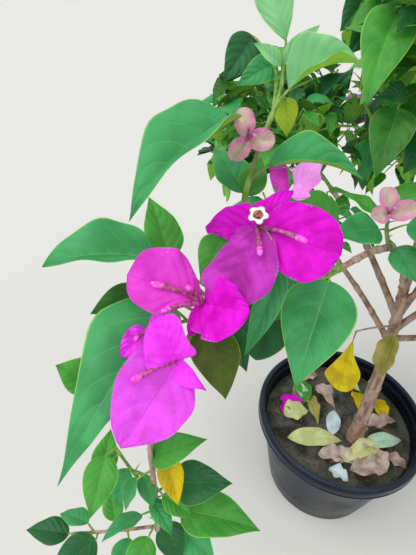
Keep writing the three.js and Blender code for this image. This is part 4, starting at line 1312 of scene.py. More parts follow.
# %% Blooms of the sprays, measured
OPENING = {"crinkle": 0.4, "cup": 0.3, "outline": (0.6, 0.45)}
BLOOMS = [
    # spray, place on its shoot, the stalk's length, heading and rise, kind, bracts, flowers, threads
    ("flowering_spray", 0.5, [27, -74, 31], "bract", [
        [52, -24, -3, 45, 58, {
            "right": {0.05: 0.4, 0.25: 0.75, 0.5: 0.95, 0.72: 1.0, 0.92: 0.6},
            "left": {0.05: 0.35, 0.25: 0.85, 0.55: 0.95, 0.8: 0.8, 0.95: 0.45},
        }],
        [43, 144, -22, 43, -72, {
            "right": {0.02: 0.6, 0.1: 0.72, 0.3: 0.64, 0.5: 0.58, 0.75: 0.28, 0.93: 0.1},
            "left": {0.1: 0.35, 0.25: 0.45, 0.5: 0.33, 0.75: 0.22, 0.93: 0.2}, "cup": 0.15,
        }],
        [31, 32, 38, 24, 33, {
            "right": {0.1: 0.3, 0.35: 0.37, 0.7: 0.25, 0.92: 0.12},
            "left": {0.04: 0.7, 0.15: 0.97, 0.45: 0.76, 0.77: 0.5, 0.93: 0.2},
        }],
        [51, -112, -43, 44, -4, {
            "right": {0.05: 0.4, 0.25: 0.6, 0.5: 0.78, 0.75: 1.0, 0.93: 0.7},
            "left": {0.06: 0.5, 0.3: 0.85, 0.5: 1.0, 0.75: 0.9, 0.93: 0.5},
            "fold": 17, "dome": 0.14, "tone": "dusky_bract",
        }],
    ], [[18, -101, 58, "open"], [35, -41, 9], [27, -90, -5]], [[17, -64, 2]]),
    ("flowering_spray", 0.48, [37, 19, 45], "pale_bract", [
        [28, 101, 39, 17, -22, {
            "right": {0.1: 0.2, 0.5: 0.35, 0.7: 0.25, 0.92: 0.3},
            "left": {0.06: 0.4, 0.2: 0.9, 0.45: 1.1, 0.7: 1.0, 0.92: 0.5},
            "wave": 0.3, "tone": "soft_bract",
        }],
        [36, 45, 30, 22, 33, {
            "right": {0.04: 0.75, 0.18: 1.1, 0.31: 0.87, 0.51: 1.0, 0.65: 0.75, 0.89: 0.35},
            "left": {0.2: 0.05, 0.4: 0.8, 0.62: 0.62, 0.75: 0.75, 0.93: 0.5},
            "wave": 0.3,
        }],
    ], [], []),
    ("flowering_spray", 0.72, [16, -135, 44], "young_bract", [
        [19, 139, 68, 13, -48, OPENING],
        [18, -26, 8, 14, 70, OPENING],
        [19, -129, -28, 13, -38, OPENING],
    ], [[10, -99, 68], [10, -64, 32], [10, -116, 9]], []),
    ("drooping_spray", 0.32, [38, -113, 28], "bract", [
        [51, -172, 28, 43, -46, {
            "right": {0.1: 0.3, 0.27: 0.65, 0.42: 1.0, 0.67: 1.05, 0.94: 0.7},
            "left": {0.15: 0.25, 0.36: 0.4, 0.58: 0.78, 0.83: 0.68, 0.95: 0.42},
            "cup": 0.1, "tone": "soft_bract",
        }],
        [41, -46, 27, 44, 52, {
            "right": {0.03: 0.75, 0.3: 0.9, 0.55: 1.0, 0.83: 0.85, 0.97: 0.4},
            "left": {0.03: 0.7, 0.2: 0.87, 0.65: 0.65, 0.8: 0.42, 0.95: 0.2},
            "fold": 14, "dome": 0.06,
        }],
        [24, -128, -57, 12, -28, {"fold": 30}],
    ], [[39, -163, 33], [22, -147, 55], [31, -145, 12]], []),
    ("drooping_spray", 0.39, [45, -104, 7], "lit_bract", [
        [59, -121, -24, 50, -29, {
            "right": {0.04: 0.8, 0.2: 1.0, 0.51: 1.0, 0.82: 0.6, 0.95: 0.25},
            "left": {0.05: 0.5, 0.2: 0.8, 0.4: 0.95, 0.63: 0.83, 0.81: 0.53},
            "fold": 9, "crinkle": 1.1, "tone": "violet_bract",
        }],
        [36, 166, 73, 34, -55, {
            "right": {0.02: 0.5, 0.15: 0.75, 0.5: 0.6, 0.93: 0.55},
            "left": {0.02: 0.85, 0.25: 1.1, 0.6: 0.95, 0.93: 0.6}, "bow": 0.12, "fold": 12,
        }],
        [27, -43, -11, 17, 27, {
            "right": {0.1: 0.6, 0.35: 1.1, 0.65: 0.85, 0.85: 0.3},
            "left": {0.1: 0.3, 0.4: 0.35, 0.7: 0.18},
        }],
    ], [[34, -137, 10]], []),
    ("drooping_spray", 0.39, [42, -141, 15], "lit_bract", [
        [23, -130, -15, 20, -34, {"fold": 22, "wave": 0.3}],
        [18, 60, 20, 15, -20, {"fold": 16}],
    ], [[14, -116, 17]], []),
    ("side_spray", 1, [22, -111, 6], "young_bract", [
        [26, -30, 30, 19, 55, OPENING],
        [25, 100, 50, 18, -10, OPENING],
        [24, -150, 10, 17, -50, OPENING],
    ], [[12, -80, 60], [12, -110, 20], [11, 180, 60]], []),
]
print("blooms:", len(BLOOMS))

# %% [markdown]
# Now the sprays are made from those rows. A shoot tapers and thickens at each joint. A stalk
# leaves the joint with a slight bend and runs on under the blade as its midrib. Thorns stand at
# some joints. Leaves of one tone go into one mesh, so that a mesh has one pair of finishes.

# %% Sprays, made
STALK_RADIUS = [1.2, 0.8]
MIDRIB_SHARE = 0.3
SWELLING = 0.16
SWELLING_LENGTH = 3.2
BLOOM_STALK_RADIUS = [1.2, 1.5]
THORN_LENGTH = 10
JOINTS_PER_THORN = 3
SHOOT_STEP = 3
THREAD_RADIUS = 0.35
YOUNG_FLOWER_SCALE = 0.6
KEPT_POINTS = 4


def add_shoot(twigs, line, radius, joints, steps, first=0.0, last=1.0):
    """A tapering shoot, thicker at its joints, or the stretch of it between two shares."""
    shares = np.linspace(first, last, steps + 1)
    thick = radius[0] + (radius[1] - radius[0]) * shares
    for joint in joints:
        off_joint = (shares - joint) * line.length / SWELLING_LENGTH
        thick = thick + SWELLING * radius[0] * np.exp(-off_joint ** 2)
    twigs.add(line.points(shares), thick)


def add_stalk(twigs, foot, base, along, facing, length, radius=STALK_RADIUS, steps=9):
    """A stalk from the shoot to the blade, which runs on below the blade as its midrib."""
    middle = (foot + base) / 2 + UP * 0.1 * np.linalg.norm(base - foot)
    stalk = bent_line(foot, middle, base - facing * 0.3).points(np.linspace(0, 1, steps))
    ribs_shares = np.linspace(0.08, MIDRIB_SHARE, 3)
    lift = [4 * LEAF["bow"] * t * (1 - t) * length - 0.9 for t in ribs_shares]
    midrib = [base + along * t * length + facing * z for t, z in zip(ribs_shares, lift)]
    thick = np.concatenate([np.linspace(*radius, steps), radius[1] * np.array([0.7, 0.5, 0.3])])
    twigs.add([*stalk, *midrib], thick)


def add_thorn(twigs, foot, along):
    """A slightly hooked thorn."""
    tip = foot + along * THORN_LENGTH - UP * 0.16 * THORN_LENGTH
    bend = bent_line(foot, foot + along * 0.6 * THORN_LENGTH, tip)
    twigs.add(bend.points(np.linspace(0, 1, 6)), [1.2, 0.9, 0.65, 0.45, 0.28, 0.1])


def form_of(kind, changes):
    return {**kind, **{k: v for k, v in changes.items() if k != "tone"}}


def make_spray(spray):
    """One spray: its stems, its leaves by tone, its bracts by kind and its flowers."""
    twigs, woody = Twigs(), Twigs()
    lines = {key: smooth_line(path) for key, (path, _, _) in SHOOTS[spray].items()}
    leaves, bracts, flowers = {}, {}, Heap()
    for key, (_, radius, wood_from) in SHOOTS[spray].items():
        line = lines[key]
        joints = [row[0] for row in LEAF_ROWS[spray, key]]
        steps = int(line.length / SHOOT_STEP)
        if wood_from > 0:
            add_shoot(twigs, line, radius, joints, steps, 0.0, wood_from)
        if wood_from < 1:
            add_shoot(woody, line, radius, joints, steps, wood_from, 1.0)
        for k, joint in enumerate(sorted(set(joints))[::JOINTS_PER_THORN]):
            side, over = across_frame(line.tangent(joint))
            outward = unit(side * math.cos(2.4 * k) + over * math.sin(2.4 * k) + 0.3 * UP)
            add_thorn(twigs, line.point(joint), outward)
    seed = 0
    for key in SHOOTS[spray]:
        for row in LEAF_ROWS[spray, key]:
            at, stalk, stalk_heading, stalk_rise, length, heading, rise, width, roll, bend = row
            seed += 1
            bend = {"tone": bend} if isinstance(bend, str) else bend
            foot = lines[key].point(at)
            base = foot + direction(stalk_heading, stalk_rise) * stalk
            along = direction(heading, rise)
            facing = facing_up(along, roll)
            add_stalk(twigs, foot, base, along, facing, length)
            heap = leaves.setdefault(bend.get("tone", "mature"), Heap())
            add_blade(heap, base, along, facing, length, width, form_of(LEAF, bend), seed)
    for owner, at, stalk, kind, bract_rows, flower_rows, threads in BLOOMS:
        if owner != spray:
            continue
        foot = lines["shoot"].point(at)
        heart = foot + direction(*stalk[1:]) * stalk[0]
        bend = bent_line(foot, (foot + heart) / 2 + UP * 2, heart)
        twigs.add(bend.points(np.linspace(0, 1, 9)), np.linspace(*BLOOM_STALK_RADIUS, 9))
        for length, heading, rise in threads:
            tip = heart + direction(heading, rise) * length
            bend = bent_line(heart, (heart + tip) / 2 + UP * 5, tip)
            twigs.add(bend.points(np.linspace(0, 1, 9)), [THREAD_RADIUS] * 9)
        for length, heading, rise, width, roll, bend in bract_rows:
            seed += 1
            heap = bracts.setdefault(bend.get("tone", kind), Heap())
            along = direction(heading, rise)
            add_blade(heap, heart, along, facing_up(along, roll), length, width, form_of(BRACT, bend), seed)
        for length, heading, rise, *state in flower_rows:
            scale = YOUNG_FLOWER_SCALE if kind == "young_bract" else 1.0
            add_flower(flowers, heart, direction(heading, rise), length, "open" in state, scale)
    return twigs, woody, leaves, bracts, flowers


spray_points = []
for name in SHOOTS:
    twigs, woody, leaves, bracts, flowers = make_spray(name)
    owner = SPRAY_OWNERS.get(name, name)
    twigs.piece(name + "_stems", 10, stem_finish, "bark", owner)
    if woody.points:
        woody.piece(name + "_wood", 10, bark_finish, "bark", owner)
    for tone, heap in {**leaves, **bracts}.items():
        ending = "s" if tone in BRACT_TONES else "_leaves"
        add_blades(name + "_" + tone + ending, heap, blade_finishes[tone], SLOTS[tone], owner)
        spray_points += [points[::KEPT_POINTS] for points in heap.points]
    if flowers.points:
        add_piece(name + "_flowers", flowers.mesh(name + "_flowers", flower_finishes), "flower", owner)
    print(name, "leaves:", {tone: len(heap.points) for tone, heap in leaves.items()})

# %% [markdown]
# The crown is eight masses of foliage, one at the tip of each bough. Each keeps to its own
# egg-shaped space, so that light and air pass between them. The habit of growth is the same for
# all: a stem bends up through the middle of the space, twigs leave it a golden angle apart, and
# leaves leave each twig in the same way, facing the light. The numbers here are the source's.

# %% Crown, measured
GOLDEN_ANGLE = 137.5
HABIT = {
    "first_twig": 0.12, "twig_span": 0.8, "turn_scatter": 18, "spread": (52, 76), "lift": 0.12,
    "share": 0.8, "longest": 150, "shortest": 25, "arch": 0.08, "nod": 0.05, "twig_radius": (1.7, 1.1),
    "first_leaf": 0.22, "leaf_spacing": 21, "leaf_turn": 25, "leaf_forward": 0.55, "leaf_out": 0.8,
    "leaf_droop": (0.1, 0.4), "leaf_size": (0.8, 1.2), "leaf_roll": 28, "leaf_ratio": 0.62,
    "bract_turn": 15, "bract_length": (40, 48), "bract_width": (34, 40),
}
SPACE_GAP = 0.03
WAY_STEP = 5
LONGEST_WAY = 200
MASS_COLUMNS = ("limb", "centre", "reach", "twigs", "leaf", "blooms", "seed")
MASSES = {
    "top_foliage": ("leader", [15, 15, 800], [165, 160, 118], 11, 78, [2, 7], 11),
    "back_foliage": ("back_bough", [60, 205, 670], [150, 140, 145], 10, 80, [4, 8], 23),
    "back_right_foliage": ("back_right_bough", [190, 125, 620], [120, 120, 120], 9, 76, [3, 6], 29),
    "back_left_foliage": ("back_left_bough", [-160, 155, 655], [140, 135, 130], 10, 78, [], 37),
    "right_foliage": ("right_bough", [195, -40, 660], [135, 130, 135], 10, 78, [3, 8], 41),
    "left_foliage": ("left_bough", [-150, 10, 565], [115, 110, 100], 9, 70, [], 53),
    "front_right_foliage": ("front_right_bough", [125, -185, 560], [130, 120, 115], 10, 76, [2, 7], 67),
    "front_foliage": ("front_upper_bough", [22, -150, 660], [88, 100, 95], 8, 68, [4], 71),
}
CROWN = {name: dict(zip(MASS_COLUMNS, row)) for name, row in MASSES.items()}
centres = np.array([mass["centre"] for mass in CROWN.values()], float)
reaches = np.array([mass["reach"] for mass in CROWN.values()], float)


def in_own_space(points, number):
    """Whether every point lies in this mass's own part of the crown."""
    points = np.atleast_2d(points)
    shares = np.linalg.norm((points[:, None] - centres) / reaches, axis=2)
    own = shares[:, number].copy()
    shares[:, number] = np.inf
    return bool(np.all(own < 1) and np.all(shares.min(axis=1) > own + SPACE_GAP))


def way_to_outline(start, along, number):
    """How far a twig can run before it leaves the mass's space, in whole steps."""
    length = 0
    while length < LONGEST_WAY and in_own_space(start + along * (length + WAY_STEP), number):
        length += WAY_STEP
    return length


def leaning(tangent, turn_degrees, forward, outward):
    """A direction that leans out from a line, at a turn round it."""
    side, over = across_frame(tangent)
    turn = math.radians(turn_degrees)
    return tangent * forward + outward * (side * math.cos(turn) + over * math.sin(turn))


print("masses:", len(CROWN), "twigs from their stems:", sum(m["twigs"] for m in CROWN.values()))

# %% [markdown]
# The rule is written once for the stem's twigs and once more for the finer twigs that leave them
# beside each leaf. The finer twigs and their numbers are this model's own: they stay in the same
# space and carry the smaller leaves that fill a real crown. Every twig has its own seeded dice,
# so one twig can change and the others stay as they are.

# %% The rule of growth
FINE = {
    "start": 0.06, "turn": 70, "pair_turn": 150, "turn_scatter": 30, "spread": (38, 62),
    "share": 0.85, "length": (40, 88), "shortest": 16, "radius": (1.2, 0.75), "first_leaf": 0.25,
    "leaf_spacing": 12.5, "leaf_size": (0.56, 1.04),
}
AT_TIP = 0.97


def mass_stem(mass):
    """The stem that goes on from the limb's tip and bends through the middle of the space."""
    limb = limb_lines[mass["limb"]]
    heading = limb.tangent(1)
    root = limb.point(1) - 2 * heading
    centre = np.array(mass["centre"], float)
    across = centre - root
    distance = np.linalg.norm(across)
    tip = centre + across / distance * 0.55 * min(mass["reach"])
    return bent_line(root, root + heading * 0.6 * distance, tip)


def bent_twig(start, along, length):
    middle = start + along * 0.55 * length + UP * HABIT["arch"] * length
    return bent_line(start, middle, start + along * length - UP * HABIT["nod"] * length)


def leaf_shares(first, count):
    return [first + (1 - first) * j / (count - 1) for j in range(count)]


def main_twig(stem, k, mass, number):
    """A twig from the stem, by the source's rule, or None where there is no room."""
    roll = dice(mass["seed"] * 1000 + k)
    at = HABIT["first_twig"] + HABIT["twig_span"] * (k + 0.5) / mass["twigs"]
    scatter = roll(-HABIT["turn_scatter"], HABIT["turn_scatter"])
    spread = math.radians(roll(*HABIT["spread"]))
    along = leaning(stem.tangent(at), k * GOLDEN_ANGLE + mass["seed"] * 10 + scatter,
                    math.cos(spread), math.sin(spread))
    along = unit(along + UP * HABIT["lift"])
    start = stem.point(at)
    length = min(HABIT["share"] * way_to_outline(start, along, number), HABIT["longest"])
    if length < HABIT["shortest"]:
        return None
    count = max(2, math.floor(length / HABIT["leaf_spacing"] + 0.5))
    return {
        "line": bent_twig(start, along, length), "radius": HABIT["twig_radius"], "roll": roll,
        "leaves": leaf_shares(HABIT["first_leaf"], count), "size": HABIT["leaf_size"],
        "bloom": k in mass["blooms"],
    }


def fine_twigs(twig, k, mass, number):
    """Finer twigs that leave a twig in pairs, beside each of its leaves."""
    found = []
    for j in range(2 * len(twig["leaves"])):
        roll = dice(mass["seed"] * 100000 + k * 100 + j)
        at = min(twig["leaves"][j // 2] + FINE["start"], AT_TIP)
        turn_by = j // 2 * GOLDEN_ANGLE + FINE["turn"] + FINE["pair_turn"] * (j % 2)
        turn_by += roll(-FINE["turn_scatter"], FINE["turn_scatter"])
        spread = math.radians(roll(*FINE["spread"]))
        along = unit(leaning(twig["line"].tangent(at), turn_by, math.cos(spread), math.sin(spread)))
        start = twig["line"].point(at)
        length = min(FINE["share"] * way_to_outline(start, along, number), roll(*FINE["length"]))
        if length < FINE["shortest"]:
            continue
        count = max(2, round(length / FINE["leaf_spacing"]))
        found.append({
            "line": bent_twig(start, along, length), "radius": FINE["radius"], "roll": roll,
            "leaves": leaf_shares(FINE["first_leaf"], count), "size": FINE["leaf_size"], "bloom": False,
        })
    return found


def leaf_on_twig(twig, j, mass):
    """Where a leaf stands on its twig, which way it runs and faces, and how long it is."""
    roll = twig["roll"]
    share = twig["leaves"][j]
    at_tip = share > AT_TIP
    turn_by = j * GOLDEN_ANGLE + roll(-HABIT["leaf_turn"], HABIT["leaf_turn"])
    along = leaning(twig["line"].tangent(share), turn_by, 1 if at_tip else HABIT["leaf_forward"],
                    0.2 if at_tip else HABIT["leaf_out"])
    along = unit(along - UP * roll(*HABIT["leaf_droop"]))
    length = mass["leaf"] * roll(*twig["size"])
    facing = facing_up(along, roll(-HABIT["leaf_roll"], HABIT["leaf_roll"]))
    return twig["line"].point(share), along, facing, length


def bracts_on_twig(twig):
    """Three bracts round the tip of a twig."""
    roll = twig["roll"]
    heart, tangent = twig["line"].point(1), twig["line"].tangent(1)
    found = []
    for k in range(3):
        along = unit(leaning(tangent, k * 120 + roll(-HABIT["bract_turn"], HABIT["bract_turn"]), 0.6, 0.8))
        facing = unit(tangent - along * (tangent @ along))
        found.append((heart, along, facing, roll(*HABIT["bract_length"]), roll(*HABIT["bract_width"])))
    return found


example = mass_stem(CROWN["top_foliage"])
print("the top mass's stem is", round(example.length), "mm long")

# %% [markdown]
# The crown has over a thousand leaves, too many to shape one by one. So a few shared forms are
# made, each with 80 faces: one nearly flat, one folded, one arched and one curled at the tip. The
# leaves are only points that carry a direction, a facing, a size and the number of a form. One
# Geometry Nodes group puts the forms on the points, makes them real, and gives the upper and
# lower skins their finishes.

# %% Leaf forms and the group that places them
FORM_GRID = blade_grid(8, np.array([-1, -0.6, -0.12, 0.12, 0.6, 1]))
FORM_LENGTH = 100
FORMS = [
    {"fold": 8, "dome": 0.1, "bow": 0.05, "curl": 0.04},
    {"fold": 20, "dome": 0.04, "bow": 0.08, "curl": 0.1, "wave": 0.12},
    {"fold": 5, "dome": 0.14, "bow": 0.12, "curl": 0.05, "cup": -0.1},
    {"fold": 14, "dome": 0.06, "bow": 0.03, "curl": 0.16, "wave": 0.18, "waves": 1.6},
]
forms = bpy.data.collections.new("leaf_forms")
for number, bend in enumerate(FORMS):
    heap = Heap()
    add_blade(heap, np.zeros(3), np.array([0.0, 1, 0]), UP, FORM_LENGTH, FORM_LENGTH * HABIT["leaf_ratio"],
              {**LEAF, **bend, "crinkle": 1.0, "thick": 1.0}, number, FORM_GRID)
    name = "leaf_form_%d" % number
    form_mesh = heap.mesh(name, [])
    under = form_mesh.attributes.new("underside", "BOOLEAN", "FACE")
    under.data.foreach_set("value", np.array(heap.finishes) == 1)
    form_mesh.polygons.foreach_set("material_index", np.zeros(len(form_mesh.polygons), np.int32))
    forms.objects.link(bpy.data.objects.new(name, form_mesh))

leafing, given, made = new_group("leaves_on_points", {
    "Forms": "Collection", "Upper finish": "Material",
    "Underside finish": "Material",
})
shapes = add_node(leafing, "GeometryNodeCollectionInfo", {
    "Collection": given["Forms"], "Separate Children": True, "Reset Children": True,
})
held = {
    name: add_node(leafing, "GeometryNodeInputNamedAttribute", {"Name": name}, data_type=kind)
    for name, kind in (("along", "FLOAT_VECTOR"), ("facing", "FLOAT_VECTOR"), ("size", "FLOAT"),
                       ("form", "INT"), ("underside", "BOOLEAN"))
}
turned_to = add_node(leafing, "FunctionNodeAxesToRotation", {
    "Primary Axis": held["along"], "Secondary Axis": held["facing"],
}, primary_axis="Y", secondary_axis="Z")
copies = add_node(leafing, "GeometryNodeInstanceOnPoints", {
    "Points": given["Geometry"], "Instance": shapes,
    "Pick Instance": True, "Instance Index": held["form"], "Rotation": turned_to, "Scale": held["size"],
})
real = add_node(leafing, "GeometryNodeRealizeInstances", {"Geometry": copies})
upper_named = add_node(leafing, "GeometryNodeSetMaterial", {
    "Geometry": real, "Material": given["Upper finish"],
})
lower_named = add_node(leafing, "GeometryNodeSetMaterial", {
    "Geometry": upper_named, "Selection": held["underside"], "Material": given["Underside finish"],
})
leafing.links.new(lower_named.outputs["Geometry"], made.inputs["Geometry"])


def leaves_piece(name, leaves, tone, node):
    """Turns a list of placed leaves of one tone into one mesh."""
    bases, along, facing, lengths, form_numbers = map(np.array, zip(*leaves))
    mesh = bpy.data.meshes.new(name)
    mesh.from_pydata(bases * MM, [], [])
    for label, rows in (("along", along), ("facing", facing)):
        vectors = mesh.attributes.new(label, "FLOAT_VECTOR", "POINT")
        vectors.data.foreach_set("vector", rows.astype(np.float32).ravel())
    sizes = mesh.attributes.new("size", "FLOAT", "POINT")
    sizes.data.foreach_set("value", (lengths / FORM_LENGTH).astype(np.float32))
    numbers = mesh.attributes.new("form", "INT", "POINT")
    numbers.data.foreach_set("value", form_numbers.astype(np.int32))
    upper_finish, lower_finish = blade_finishes[tone]
    placed = grown_by(leafing, mesh, {
        "Forms": forms, "Upper finish": upper_finish, "Underside finish": lower_finish,
    })
    for spare in ("form", "underside"):
        if spare in placed.attributes:
            placed.attributes.remove(placed.attributes[spare])
    add_piece(name, placed, SLOTS[tone], node)


# %% [markdown]
# Each mass is now grown. A leaf is skipped, as in the source, if its outline would leave the
# space, touch a limb or a spray's leaf, or stand too close to an earlier leaf. A fine twig ends
# at its last leaf. Tones are dealt out by twig: fresh, mature, shaded or deep green, and tender at
# the fine tips; shaded and deep are darker greens that paint shade. Blooms stand on the twigs
# that the source names, with three bracts and flowers.

# %% Crown, grown
LEAF_STALK = 9
CLEAR_OF_LIMBS = 6.5
LEAVES_APART = 11.5
SHORTEST_LEAF = 20
CROWN_STALK_RADIUS = (0.9, 0.6)
CROWN_FLOWER_LENGTH = 22
BRACT_GRID = blade_grid(14, np.array([-1, -0.75, -0.4, -0.1, 0.1, 0.4, 0.75, 1]))
TONE_SHARES = [("fresh", 0.44), ("mature", 0.62), ("shaded", 0.8), ("deep", 1.0)]

limb_points = np.vstack([line.points(np.linspace(0, 1, 60)) for line in limb_lines.values()])
spray_points = np.vstack(spray_points)
near_spray = kdtree.KDTree(len(spray_points))
for number, point in enumerate(spray_points):
    near_spray.insert(point, number)
near_spray.balance()


def outline_of(base, along, facing, length):
    """A few points on a leaf's outline, for the tests of room."""
    side = np.cross(along, facing) * length * HABIT["leaf_ratio"] / 2
    middle = base + along * 0.4 * length
    late = base + along * 0.7 * length
    return np.array([middle + side, middle - side, late + 0.6 * side, late - 0.6 * side,
                     base + along * length, middle])


def has_room(base, outline, number, middles):
    """Whether a leaf keeps to its mass's space, clear of limbs, sprays and earlier leaves."""
    if not in_own_space(outline, number):
        return False
    if np.linalg.norm(outline[:, None] - limb_points, axis=2).min() < CLEAR_OF_LIMBS:
        return False
    corners = np.vstack([outline, base])
    all_over = ((corners[:, None] + corners) / 2).reshape(-1, 3)
    if min(near_spray.find(point)[2] for point in all_over) < CLEAR_OF_LIMBS:
        return False
    return not middles or np.linalg.norm(np.array(middles) - outline[-1], axis=1).min() > LEAVES_APART


def dealt_tone(deal):
    share = deal(0, 1)
    return next(tone for tone, top in TONE_SHARES if share <= top)


def grow_mass(mass, number):
    """The twigs, leaves by tone, bracts and flowers of one mass."""
    stem = mass_stem(mass)
    tip_radius = LIMBS[mass["limb"]][2] * 0.8
    main_stem = {
        "line": stem, "radius": (tip_radius, 1.4), "roll": dice(mass["seed"]), "leaves": [0.9, 1],
        "size": HABIT["leaf_size"], "bloom": False,
    }
    grown = [(main_stem, "mature")]
    for k in range(mass["twigs"]):
        twig = main_twig(stem, k, mass, number)
        if twig:
            deal = dice(mass["seed"] * 7 + k)
            grown.append((twig, dealt_tone(deal)))
            grown += [(fine, dealt_tone(deal)) for fine in fine_twigs(twig, k, mass, number)]
    twigs, bracts, flowers, leaves, middles = Twigs(), Heap(), Heap(), {}, []
    for twig, tone in grown:
        if twig["bloom"]:
            for base, along, facing, length, width in bracts_on_twig(twig):
                seed = len(bracts.points)
                add_blade(bracts, base, along, facing, length, width, BRACT, seed, BRACT_GRID)
                heading = unit(twig["line"].tangent(1) + 0.45 * along)
                add_flower(flowers, base, heading, CROWN_FLOWER_LENGTH, False)
        bare_to = 1.0 if twig["bloom"] or twig["size"] is HABIT["leaf_size"] else 0.0
        for j in range(len(twig["leaves"])):
            foot, along, facing, length = leaf_on_twig(twig, j, mass)
            base = foot + along * LEAF_STALK
            length = max(length - LEAF_STALK, SHORTEST_LEAF)
            outline = outline_of(base, along, facing, length)
            if not has_room(base, outline, number, middles):
                continue
            middles.append(outline[-1])
            is_young = twig["size"] is FINE["leaf_size"] and twig["leaves"][j] > AT_TIP
            form = (len(middles) * 7 + j) % len(FORMS)
            leaves.setdefault("tender" if is_young else tone, []).append((base, along, facing, length, form))
            add_stalk(twigs, foot, base, along, facing, length, CROWN_STALK_RADIUS, 3)
            bare_to = max(bare_to, twig["leaves"][j])
        if bare_to:
            add_shoot(twigs, twig["line"], twig["radius"], twig["leaves"], 10, 0.0, bare_to)
    return twigs, leaves, bracts, flowers


total_leaves = 0
for number, (name, mass) in enumerate(CROWN.items()):
    twigs, leaves, bracts, flowers = grow_mass(mass, number)
    twigs.piece(name + "_twigs", 5, stem_finish, "bark", name)
    for tone, placed in leaves.items():
        leaves_piece(name + "_" + tone + "_leaves", placed, tone, name)
        total_leaves += len(placed)
    if bracts.points:
        add_blades(name + "_bracts", bracts, blade_finishes["bract"], "bract", name)
        add_piece(name + "_flowers", flowers.mesh(name + "_flowers", flower_finishes), "flower", name)
    print(name, {tone: len(placed) for tone, placed in leaves.items()})
for form_object in list(forms.objects):
    bpy.data.objects.remove(form_object)
bpy.data.collections.remove(forms)
print("leaves in the crown:", total_leaves)

# %% [markdown]
# Old leaves turn clear yellow or dry on the bush, and all end up on the potting mix. A yellow one
# hangs from a thin bare twig by the trunk, and a withered one against it. At the trunk's foot
# stands the stub of a pruned shoot. On the crust lie straw, brown, grey, yellow and green leaves,
# two bracts and some dry stalks. Each leaf is let down until its lowest point rests on the crust.

# %% Fallen and hanging leaves
FLAT = {"bow": 0.05, "fold": 8, "outline": (0.8, 1.0)}
CUPPED = {"bow": 0.1, "cup": 0.25, "wave": 0.2}
ROLLED = {"bow": 0.1, "fold": 26, "wave": 0.3, "crinkle": 1.2}
CRUMPLED = {"bow": 0.14, "cup": 0.3, "wave": 0.3, "crinkle": 2.4, "outline": (0.7, 0.9)}
FALLEN = [
    # where its base lies, heading, length, width, tone or kind, how it is bent
    [-100, -44, 1, 100, 38, "straw", FLAT],
    [61, -46, -152, 88, 34, "straw", {"bow": 0.08, "fold": 14, "wave": 0.2, "outline": (0.6, 1.3)}],
    [-18, -34, 73, 60, 27, "silver", FLAT],
    [39, -46, 10, 74, 31, "sage", FLAT],
    [-71, 32, 62, 66, 36, "fresh", CUPPED],
    [-100, 4, 15, 52, 42, "straw", CUPPED],
    [-47, 52, -82, 66, 27, "withered", ROLLED],
    [-70, 16, 134, 45, 38, "bract", CUPPED],
    [-96, 30, -79, 28, 24, "bract", CUPPED],
    [-49, -72, -7, 52, 30, "dry", CRUMPLED],
    [-34, -95, -34, 36, 25, "silver", CRUMPLED],
    [2, -96, 3, 66, 34, "dry", CRUMPLED],
    [51, -57, -71, 42, 29, "dry", CRUMPLED],
    [14, -66, -12, 54, 33, "dry", CRUMPLED],
    [-20, -60, -40, 44, 27, "dry", CRUMPLED],
    [70, -66, -30, 40, 24, "dry", CRUMPLED],
    [53, -7, 13, 66, 30, "dry", ROLLED],
    [87, 51, -87, 58, 30, "yellow", CUPPED],
    [55, 66, -101, 40, 30, "yellow", CUPPED],
    [-28, 74, -60, 60, 25, "dry", ROLLED],
    [-60, 92, 20, 46, 27, "dry", CRUMPLED],
    [20, 96, -30, 52, 30, "straw", ROLLED],
    [-70, 74, -60, 44, 26, "sage", CUPPED],
    [6, 60, 150, 40, 22, "dry", ROLLED],
]
FALLEN_STALKS = [
    # where one starts, its heading and its length
    [-112, 20, -68, 44], [-40, -30, -10, 38], [8, -62, 35, 52], [62, 20, 20, 40], [-70, -8, 60, 30],
    [-30, -84, 12, 46], [30, -100, 30, 40], [-64, 60, -30, 44], [96, -24, 110, 34],
]
REST_GAP = 0.3
FALLEN_SEED = 40
HANGING_SEED = 61
fallen_heaps = {}
for seed, (x, y, heading, length, width, kind, bend) in enumerate(FALLEN):
    along = direction(heading, 0)
    heap = fallen_heaps.setdefault(kind, Heap())
    form = form_of(BRACT if kind == "bract" else LEAF, bend)
    placed = add_blade(heap, np.array([x, y, 0.0]), along, UP, length, width, form, seed + FALLEN_SEED)
    drop = min(high - soil_height(*level) for *level, high in placed)
    heap.points[-1][:, 2] -= drop - REST_GAP
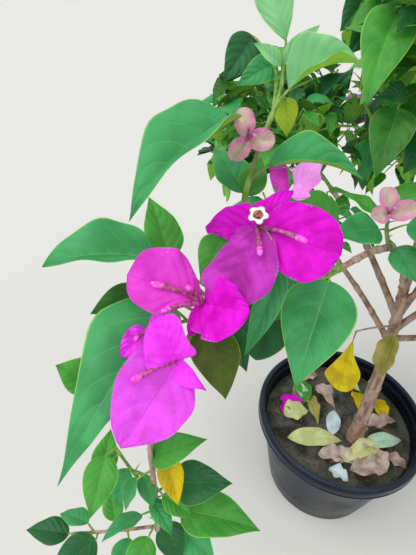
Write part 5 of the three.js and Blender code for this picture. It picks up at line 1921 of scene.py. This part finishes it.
for kind, heap in fallen_heaps.items():
    add_blades("fallen_" + kind, heap, blade_finishes[kind], SLOTS[kind])

bare_twig = Twigs()
for x, y, heading, length in FALLEN_STALKS:
    run = [np.array([x, y, 0.0]) + direction(heading + 9 * k, 0) * k * length / 6 for k in range(7)]
    bare_twig.add([(p[0], p[1], soil_height(p[0], p[1]) + 1.0) for p in run], [0.8] * 6 + [0.5])
twig_line = bent_line(*np.array([[10.0, -36, 460], [-20, -48, 474], [-53, -53, 463]]))
add_shoot(bare_twig, twig_line, (1.8, 1.0), [0.5, 0.97], 24)
pruned = bent_line(*np.array([[30.0, -30, 176], [38, -27, 184], [43, -26, 196]]))
add_shoot(bare_twig, pruned, (5.0, 4.2), [], 10)
STRAIGHT_SIDE = {0.1: 0.1, 0.3: 0.4, 0.54: 1.0, 0.78: 0.9, 0.94: 0.55, 0.98: 0.3}
CORNERED_SIDE = {0.1: 0.1, 0.34: 0.42, 0.66: 0.97, 0.78: 1.0, 0.9: 0.6, 0.97: 0.25}
HANGING = [
    # tone, where its stalk starts, where its base is, heading, rise, length, width, turn, how it is bent
    ["yellow", twig_line.point(0.97), [-53, -56, 452], -110, -58, 78, 45, 12,
     {"right": CORNERED_SIDE, "left": STRAIGHT_SIDE, "fold": 8, "cup": 0.1, "crinkle": 1.6}],
    ["withered", np.array([9.0, -38, 468]), [-1, -59, 466], -113, -64, 68, 44, 20,
     {"fold": 48, "wave": 0.25, "crinkle": 2.0}],
]
for tone, foot, base, heading, rise, length, width, roll, bend in HANGING:
    base, along = np.array(base, float), direction(heading, rise)
    facing = facing_up(along, roll)
    add_stalk(bare_twig, foot, base, along, facing, length)
    heap = Heap()
    add_blade(heap, base, along, facing, length, width, form_of(LEAF, bend), HANGING_SEED)
    add_blades("hanging_" + tone + "_leaf", heap, blade_finishes[tone], SLOTS[tone])
bare_twig.piece("bare_twig", 10, bark_finish, "bark")
print("fallen leaves and bracts:", len(FALLEN))

# %% [markdown]
# Last, the view layer is brought up to date.

# %% Up to date
bpy.context.view_layer.update()
